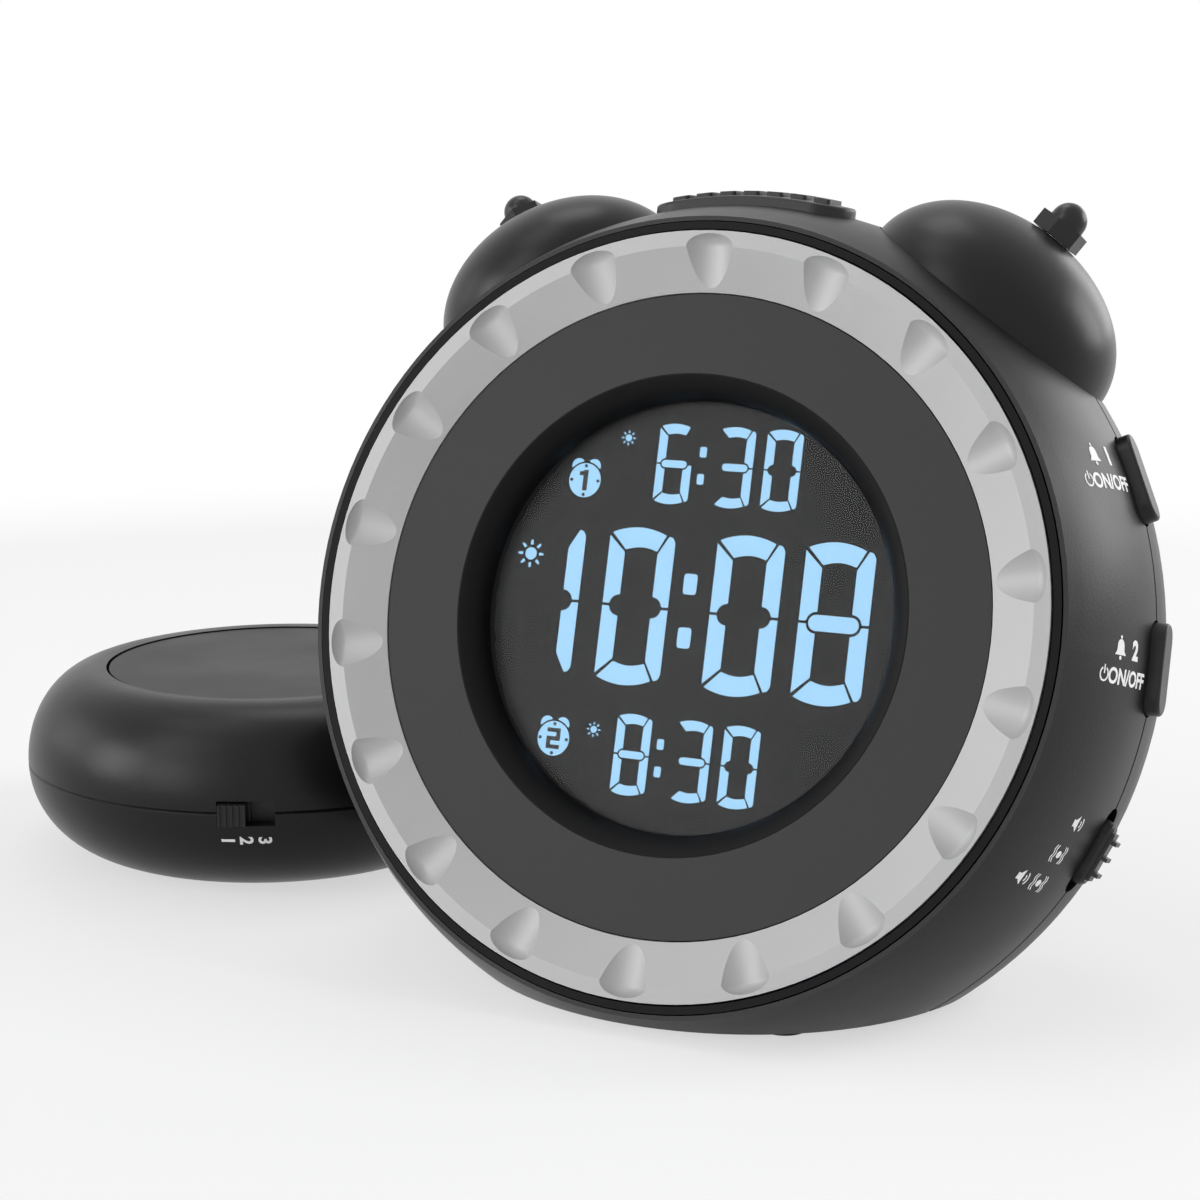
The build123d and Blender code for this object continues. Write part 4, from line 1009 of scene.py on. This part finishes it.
@dataclass
class PuckMarks:
    """The numbers under the puck's switch, reading downwards."""

    standoff: float = 4.0 * MM
    height: float = 2.25 * MM
    weight: float = 0.03
    pitch: float = 3.05 * MM
    level: float = 11.4 * MM

    def build(self) -> None:
        """Prints 1, 2 and 3 below the switch."""
        outward = PUCK.around(0.0, 1.0, 0.0) - PUCK.around(0.0, 0.0, 0.0)
        middle = PUCK.around(0.0, PUCK.radius + self.standoff, self.level)
        turned = Matrix((DOWN, outward.cross(DOWN), outward)).transposed().to_4x4()
        place = Matrix.Translation(middle) @ turned
        shapes: list[Outline] = []
        for step, number in enumerate("123"):
            shapes += lettering(number, self.height, (0.0, (step - 1) * self.pitch), self.weight)
        printed("switch_marks", shapes, place, "shaker_lower_shell", Body.SHAKER)


@dataclass
class ScrewRecessShade:
    """Dark crosses on the heads of the case's and the puck's screws: painted shade for their cross
    recesses.
    """

    case_radius: float = 53.5 * MM
    case_angles: tuple[float, ...] = (25.0, 130.0, 230.0, 335.0)
    case_head_depth: float = 34.8 * MM
    case_seed: int = 3
    puck_radius: float = 30.0 * MM
    puck_angles: tuple[float, ...] = (45.0, 135.0, 225.0, 315.0)
    puck_seed: int = 5
    length: float = 2.4 * MM
    width: float = 0.55 * MM
    thickness: float = 0.08 * MM

    def build(self) -> None:
        """Makes both sets."""
        radius, depth = self.case_radius, self.case_head_depth
        places = [BARREL.around(math.radians(angle), radius, depth) for angle in self.case_angles]
        backwards = BARREL.backwards().normalized()
        self._set("case_screw_crosses", places, backwards, Body.CLOCK, self.case_seed)
        radius, bottom = self.puck_radius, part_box("shaker_screws")[0][2]
        places = [PUCK.around(math.radians(angle), radius, bottom) for angle in self.puck_angles]
        self._set("puck_screw_crosses", places, DOWN, Body.SHAKER, self.puck_seed)

    def _set(
        self, name: str, places: Sequence[Vector], heading: Vector, body: Body, seed: int,
    ) -> None:
        """Makes the crosses of one body's screws.

        Args:
            name: the piece's name.
            Makes the dark crosses, painted recess shade, of one body's screws.
            heading: where the heads face.
            body: the body that carries the screws.
            seed: what the crosses' turns are drawn from.
        """
        points = bpy.data.meshes.new(name)
        points.from_pydata([place[:] for place in places], [], [])
        values = {
            "Heading": heading[:], "Length": self.length, "Width": self.width,
            "Thickness": self.thickness, "Seed": seed, "Finish": Finishes.CHIP.material(),
        }
        # Each cross is a thin dark sheet on a head: painted shade of its cross recess.
        crosses = run_tree(name, points, Shaping.screw_recess_shade(), values)
        add_piece(name, crosses, Finishes.CHIP, body)


@dataclass
class SpeakerCloth:
    """The open weave behind the speaker's slots."""

    rise: float = 13.0 * MM
    depth: float = 54.85 * MM
    radius: float = 15.4 * MM
    threads: int = 36
    thread: float = 0.28 * MM

    def build(self) -> None:
        """Makes the cloth between the cone and the rear cover."""
        middle = bpy.data.meshes.new("speaker_cloth")
        middle.from_pydata([BARREL.at(0.0, self.rise, self.depth)[:]], [], [])
        values = {
            "Radius": self.radius, "Threads": self.threads, "Thread": self.thread,
            "Heading": BARREL.backwards().normalized()[:], "Finish": Finishes.CLOTH.material(),
        }
        cloth = run_tree("speaker_cloth", middle, Shaping.round_weave(), values)
        add_piece("speaker_cloth", cloth, Finishes.CLOTH, Body.CLOCK)


class Segment(Enum):
    """The seven strokes of a digit, by their level and their side."""

    TOP = (1.0, 0.0)
    UPPER_LEFT = (1.0, -1.0)
    UPPER_RIGHT = (1.0, 1.0)
    MIDDLE = (0.0, 0.0)
    LOWER_LEFT = (-1.0, -1.0)
    LOWER_RIGHT = (-1.0, 1.0)
    BOTTOM = (-1.0, 0.0)


S = Segment
DIGITS: dict[str, tuple[Segment, ...]] = {
    "0": (S.TOP, S.UPPER_LEFT, S.UPPER_RIGHT, S.LOWER_LEFT, S.LOWER_RIGHT, S.BOTTOM),
    "1": (S.UPPER_RIGHT, S.LOWER_RIGHT),
    "3": (S.TOP, S.UPPER_RIGHT, S.MIDDLE, S.LOWER_RIGHT, S.BOTTOM),
    "6": (S.TOP, S.UPPER_LEFT, S.MIDDLE, S.LOWER_LEFT, S.LOWER_RIGHT, S.BOTTOM),
    "8": tuple(Segment),
}


@dataclass(frozen=True)
class DigitStyle:
    """The drawing of one size of digit, with its shares given of the stroke."""

    width: float
    height: float
    stroke: float
    gap: float
    crown: float
    notch_share: float = 0.6
    corner_share: float = 0.28
    dot_half: Point = (0.4, 0.58)
    dot_corner: float = 0.18
    dot_rise_of_height: float = 0.17
    cap_steps: int = 12

    def outline(self, segment: Segment) -> Outline:
        """The outline of one stroke about the digit's middle.

        Args:
            segment: which stroke.

        Returns:
            Its points, anticlockwise.
        """
        half_width = self.width / 2
        inner = half_width - self.stroke
        notch = self.stroke * self.notch_share
        level, side = segment.value
        if segment is Segment.MIDDLE:
            right = arc((inner, 0.0), notch - self.gap, -90.0, 180.0, 8)
            return right + arc((-inner, 0.0), notch - self.gap, 90.0, 180.0, 8)
        if not side:
            return self._cap(level)
        shoulder = self.height / 2 - self.crown
        corner = self.stroke * self.corner_share
        middle = self.gap / 2
        turns = [math.radians(angle) for angle in range(0, 61, 15)]
        dip = [(inner + notch * math.sin(turn), notch * math.cos(turn)) for turn in turns]
        bend = math.sqrt(max(0.0, notch**2 - middle**2))
        points = [(inner, shoulder - self.stroke), *dip]
        points += [(inner + bend, middle), (half_width, middle)]
        if side > 0:
            points += [
                (half_width, shoulder - corner),
                (half_width - corner * 0.6, shoulder),
                (half_width - corner * 1.4, shoulder + self.gap * 0.3),
            ]
        else:
            points += [(half_width, shoulder - self.gap * 0.6)]
        placed = [(side * x, level * y) for x, y in points]
        return placed if side * level < 0 else placed[::-1]

    def _cap(self, level: float) -> Outline:
        """The top or bottom stroke, with its bowed outer and inner edges.

        Args:
            level: 1 for the top stroke and -1 for the bottom one.

        Returns:
            Its points, anticlockwise.
        """
        half_width = self.width / 2
        inner = half_width - self.stroke
        shoulder = self.height / 2 - self.crown
        left = -half_width + self.gap * 0.9
        right = half_width - self.stroke * self.corner_share * 1.4 - self.gap * 1.1
        low = shoulder - self.stroke + self.gap
        outer, under = [], []
        for step in range(self.cap_steps + 1):
            share = step / self.cap_steps
            rise = math.sin(math.pi * share)
            bow = self.crown * rise**0.8
            outer.append((right + (left - right) * share, shoulder + self.gap * 0.5 + bow * 0.9))
            x = -inner + self.gap * 0.3 + 2 * (inner - self.gap * 0.3) * share
            under.append((x, low + self.crown * 0.45 * rise))
        placed = [(x, level * y) for x, y in outer + under]
        return placed if level > 0 else placed[::-1]

    def digit(self, digit: str, middle: Point) -> list[Outline]:
        """The strokes of one digit about a place."""
        strokes = [self.outline(segment) for segment in DIGITS[digit]]
        return [[(x + middle[0], y + middle[1]) for x, y in stroke] for stroke in strokes]

    def colon(self, middle: Point) -> list[Outline]:
        """Both rounded dots of a colon.

        Args:
            middle: the place between the dots.

        Returns:
            The dots' outlines, anticlockwise.
        """
        half_width, half_height = (self.stroke * share for share in self.dot_half)
        corner = self.stroke * self.dot_corner
        dots = []
        for level in (1.0, -1.0):
            rise = middle[1] + level * self.height * self.dot_rise_of_height
            dot: Outline = []
            for x, y, start in ((1, -1, -90.0), (1, 1, 0.0), (-1, 1, 90.0), (-1, -1, 180.0)):
                side, up = x * (half_width - corner), y * (half_height - corner)
                dot += arc((middle[0] + side, rise + up), corner, start, 90.0, 3)
            dots.append(dot)
        return dots


SUN_RAY: Outline = [(0.65, -0.11), (1.0, -0.07), (1.0, 0.07), (0.65, 0.11)]
NUMBER_BARS: dict[str, tuple[tuple[float, float, float, float], ...]] = {
    "1": ((-0.18, -1.0, 0.3, 1.0), (-0.6, 0.45, -0.18, 0.85)),
    "2": (
        (-0.7, 0.6, 0.7, 1.0), (0.28, 0.2, 0.7, 0.6), (-0.7, -0.2, 0.7, 0.2),
        (-0.7, -0.6, -0.28, -0.2), (-0.7, -1.0, 0.7, -0.6),
    ),
}


@dataclass
class Display:
    """What the display shows: the hour and both alarm times, all lit segments."""

    depth: float = 9.12 * MM
    thickness: float = 0.05 * MM
    main: DigitStyle = DigitStyle(10.6 * MM, 23.4 * MM, 2.65 * MM, 0.42 * MM, 1.1 * MM)
    small: DigitStyle = DigitStyle(5.6 * MM, 11.9 * MM, 1.35 * MM, 0.26 * MM, 0.5 * MM)
    main_places: tuple[tuple[str, float], ...] = (
        ("1", -23.5 * MM), ("0", -8.9 * MM), ("0", 8.4 * MM), ("8", 22.2 * MM),
    )
    main_rise: float = 0.9 * MM
    main_colon: float = -0.5 * MM
    alarm_rows: tuple[tuple[str, float, float], ...] = (
        ("630", 3.6 * MM, 22.5 * MM), ("830", 2.2 * MM, -21.0 * MM),
    )
    small_pitch: float = 7.4 * MM
    colon_gap: float = 3.0 * MM
    icon_radius: float = 2.6 * MM
    icon_places: tuple[Point, ...] = ((-19.5 * MM, 19.2 * MM), (-19.6 * MM, -19.9 * MM))
    ear_share: float = 0.42
    number_share: float = 0.6
    dot_share: float = 0.1
    dot_circle_share: float = 0.84
    sun_share: float = 0.45
    sun_rays: int = 8
    sun_places: tuple[tuple[Point, float], ...] = (
        ((-27.0 * MM, 7.5 * MM), 2.1 * MM),
        ((-13.1 * MM, 26.0 * MM), 1.15 * MM),
        ((-13.2 * MM, -17.9 * MM), 1.15 * MM),
    )

    def build(self) -> None:
        """Makes the lit segments, the colons and the small signs."""
        shapes: list[Outline] = []
        for digit, side in self.main_places:
            shapes += self.main.digit(digit, (side, self.main_rise))
        shapes += self.main.colon((self.main_colon, self.main_rise))
        pitch, gap = self.small_pitch, self.colon_gap
        for text, side, rise in self.alarm_rows:
            hour, tens, ones = text
            shapes += self.small.digit(hour, (side - pitch - gap / 2, rise))
            shapes += self.small.colon((side - pitch / 2 - gap / 4, rise))
            shapes += self.small.digit(tens, (side + gap / 4, rise))
            shapes += self.small.digit(ones, (side + pitch + gap / 4, rise))
        for middle, radius in self.sun_places:
            shapes += self._sun(middle, radius)
        numbers: list[Outline] = []
        for number, middle in zip("12", self.icon_places):
            shapes += self._alarm_sign(middle)
            numbers += self._number(number, middle)
        self._place("lit_segments", shapes, Finishes.LIT, self.depth)
        self._place("sign_numbers", numbers, Finishes.UNLIT, self.depth - self.thickness)

    def _place(self, name: str, shapes: list[Outline], finish: Finish, depth: float) -> None:
        """Stands flat shapes upright in the display, facing forwards.

        Args:
            name: the piece's name.
            shapes: the shapes.
            finish: their finish.
            depth: how far behind the face their back lies.
        """
        mesh = flat_mesh(name, shapes, self.thickness)
        for vertex in mesh.vertices:
            side, rise, lift = vertex.co
            vertex.co = BARREL.at(side, rise, depth - lift)
        add_piece(name, mesh, finish, Body.CLOCK)

    def _sun(self, middle: Point, radius: float) -> list[Outline]:
        """A small sun that marks the morning: a disc with short rays.

        Args:
            middle: where its middle lies.
            radius: how far its rays reach.

        Returns:
            Its outlines, anticlockwise.
        """
        side, rise = middle
        shapes = [disc(middle, radius * self.sun_share, 24)]
        for ray in range(self.sun_rays):
            turn = math.radians(360.0 / self.sun_rays * ray)
            cos, sin = math.cos(turn), math.sin(turn)
            shapes.append([
                (side + radius * (a * cos + b * -sin), rise + radius * (a * sin + b * cos))
                for a, b in SUN_RAY
            ])
        return shapes

    def _alarm_sign(self, middle: Point) -> list[Outline]:
        """A small round alarm sign: a disc with two ears.

        Args:
            middle: where its middle lies.

        Returns:
            Its outlines, anticlockwise.
        """
        radius = self.icon_radius
        shapes = [disc(middle, radius, 36)]
        for turn in (60.0, 120.0):
            ear = arc(middle, radius * 0.98, turn, 0.0, 1)[0]
            outer = arc(ear, radius * self.ear_share, turn - 80.0, 160.0, 8)
            shapes.append(outer + arc(middle, radius * 1.1, turn + 17.0, -34.0, 4))
        return shapes

    def _number(self, number: str, middle: Point) -> list[Outline]:
        """A blocky 1 or 2 and four dots for the alarm sign.

        Args:
            number: which number.
            middle: the sign's middle.

        Returns:
            The outlines, anticlockwise.
        """
        size = self.icon_radius * self.number_share
        around = arc(middle, self.icon_radius * self.dot_circle_share, 0.0, 270.0, 3)
        shapes = [disc(dot, self.icon_radius * self.dot_share, 12) for dot in around]
        for left, low, right, high in NUMBER_BARS[number]:
            corners = [(left, low), (right, low), (right, high), (left, high)]
            shapes.append([(middle[0] + size * x, middle[1] + size * y) for x, y in corners])
        return shapes


@dataclass
class Studio:
    """Floor, lights and camera."""

    camera_place: Vector = field(default_factory=lambda: Vector((0.17187, -0.34854, 0.12679)))
    camera_heading: Vector = field(default_factory=lambda: Vector((-0.4147, 0.8891, -0.1935)))
    lens: float = 72.0
    sensor: float = 36.0
    sight: tuple[float, float] = (0.01, 20.0)
    floor_radius: float = 3.0
    floor_corners: int = 96
    floor_colour: Colour = (0.9, 0.9, 0.9)
    floor_roughness: float = 0.6
    floor_specular: float = 0.2
    fade_start: float = 0.22
    fade_end: float = 0.5
    floor_white: float = 0.6
    soft_light: float = 0.22
    aim: Vector = field(default_factory=lambda: Vector((0.0, 0.0, 0.05)))
    light_distance: float = 1.1
    light_size: float = 0.45
    lights: tuple[tuple[str, float, float, float], ...] = (
        ("front_left", 230.0, 15.0, 3.6),
        ("front", 200.0, 15.0, 2.1),
        ("above_front", 210.0, 42.0, 1.4),
        ("back_right", 50.0, 15.0, 2.7),
        ("back", 20.0, 15.0, 1.3),
        ("left", 260.0, 15.0, 0.9),
        ("above_left", 240.0, 68.0, 1.0),
        ("above_back", 330.0, 68.0, 1.5),
    )
    side_fill: tuple[str, float, float, float] = ("side_fill", 72.0, 40.0, 4.5)

    def build(self) -> None:
        """Makes the floor, the lights, the world and the camera."""
        self._floor()
        self._world()
        self._camera()
        for values in self.lights:
            self._light(*values)
        self._light(*self.side_fill).visible_glossy = False

    def _floor(self) -> None:
        """A pale floor that fades into the white background away from the object."""
        work = bmesh.new()
        bmesh.ops.create_circle(
            work, cap_ends=True, segments=self.floor_corners, radius=self.floor_radius,
        )
        mesh = bpy.data.meshes.new("floor")
        work.to_mesh(mesh)
        work.free()
        floor = bpy.data.objects.new("floor", mesh)
        bpy.context.scene.collection.objects.link(floor)
        made = bpy.data.materials.new("pale_floor")
        made.use_nodes = True
        wiring = Wiring(made.node_tree)
        shader = made.node_tree.nodes["Principled BSDF"]
        shader.inputs["Base Color"].default_value = (*self.floor_colour, 1.0)
        shader.inputs["Roughness"].default_value = self.floor_roughness
        shader.inputs["Specular IOR Level"].default_value = self.floor_specular
        place = wiring.node("ShaderNodeTexCoord").outputs["Object"]
        away = wiring.node("ShaderNodeVectorMath", {0: place}, operation="LENGTH")
        fade = wiring.out(
            "ShaderNodeMapRange",
            {0: away.outputs["Value"], 1: self.fade_start, 2: self.fade_end, 3: 0.0, 4: 1.0},
            interpolation_type="SMOOTHSTEP",
        )
        pale = wiring.math("MAXIMUM", fade, self.floor_white)
        share = wiring.math("MULTIPLY", pale, self._looked(wiring))
        white = wiring.out("ShaderNodeEmission", {"Strength": 1.0})
        mixed = wiring.out("ShaderNodeMixShader", {0: share, 1: shader.outputs[0], 2: white})
        output = made.node_tree.nodes["Material Output"]
        made.node_tree.links.new(mixed, output.inputs[0])
        mesh.materials.append(made)

    def _world(self) -> None:
        """A white background for the camera, gloss and glass, and soft light from all round."""
        world = bpy.data.worlds.new("studio")
        bpy.context.scene.world = world
        world.use_nodes = True
        wiring = Wiring(world.node_tree)
        strength = wiring.spread(self._looked(wiring), 0.0, 1.0, self.soft_light, 1.0)
        light = world.node_tree.nodes["Background"]
        light.inputs["Color"].default_value = (1.0, 1.0, 1.0, 1.0)
        world.node_tree.links.new(strength, light.inputs["Strength"])

    @staticmethod
    def _looked(wiring: Wiring) -> Socket:
        """One for camera, gloss and glass rays, and zero for all others.

        Args:
            wiring: the wiring of the material or the world.

        Returns:
            The value.
        """
        seen = wiring.node("ShaderNodeLightPath").outputs
        clear = wiring.math("MAXIMUM", seen["Is Camera Ray"], seen["Is Transmission Ray"])
        return wiring.math("MAXIMUM", clear, seen["Is Glossy Ray"])

    def _camera(self) -> None:
        """The camera at the photograph's place."""
        data = bpy.data.cameras.new("camera")
        data.lens = self.lens
        data.sensor_width = self.sensor
        data.clip_start, data.clip_end = self.sight
        camera = bpy.data.objects.new("camera", data)
        camera.location = self.camera_place
        camera.rotation_mode = "QUATERNION"
        camera.rotation_quaternion = self.camera_heading.to_track_quat("-Z", "Y")
        bpy.context.scene.collection.objects.link(camera)
        bpy.context.scene.camera = camera

    def _light(self, name: str, heading: float, height: float, power: float) -> bpy.types.Object:
        """Adds a soft box that looks at the clock.

        Args:
            name: the light's name.
            heading: its direction from above, clockwise from straight behind, in degrees.
            height: its angle above the table, in degrees.
            power: its power in watts.

        Returns:
            The light.
        """
        data = bpy.data.lights.new(name, "AREA")
        data.size = self.light_size
        data.energy = power
        light = bpy.data.objects.new(name, data)
        turn, rise = math.radians(heading), math.radians(height)
        flat = math.cos(rise)
        away = Vector((flat * math.sin(turn), flat * math.cos(turn), math.sin(rise)))
        light.location = self.aim + self.light_distance * away
        light.rotation_mode = "QUATERNION"
        light.rotation_quaternion = (-away).to_track_quat("-Z", "Y")
        light.visible_camera = False
        bpy.context.scene.collection.objects.link(light)
        return light


def write_sizes() -> None:
    """Updates the view layer."""
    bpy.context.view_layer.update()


def main() -> None:
    """Builds the looks in order."""
    logging.basicConfig(level=logging.INFO)
    bpy.context.scene.view_settings.view_transform = "Standard"
    dress_nodes()
    Display().build()
    SideMarks().build()
    PuckMarks().build()
    ScrewRecessShade().build()
    SpeakerCloth().build()
    Studio().build()
    write_sizes()


if __name__ == "__main__":
    main()
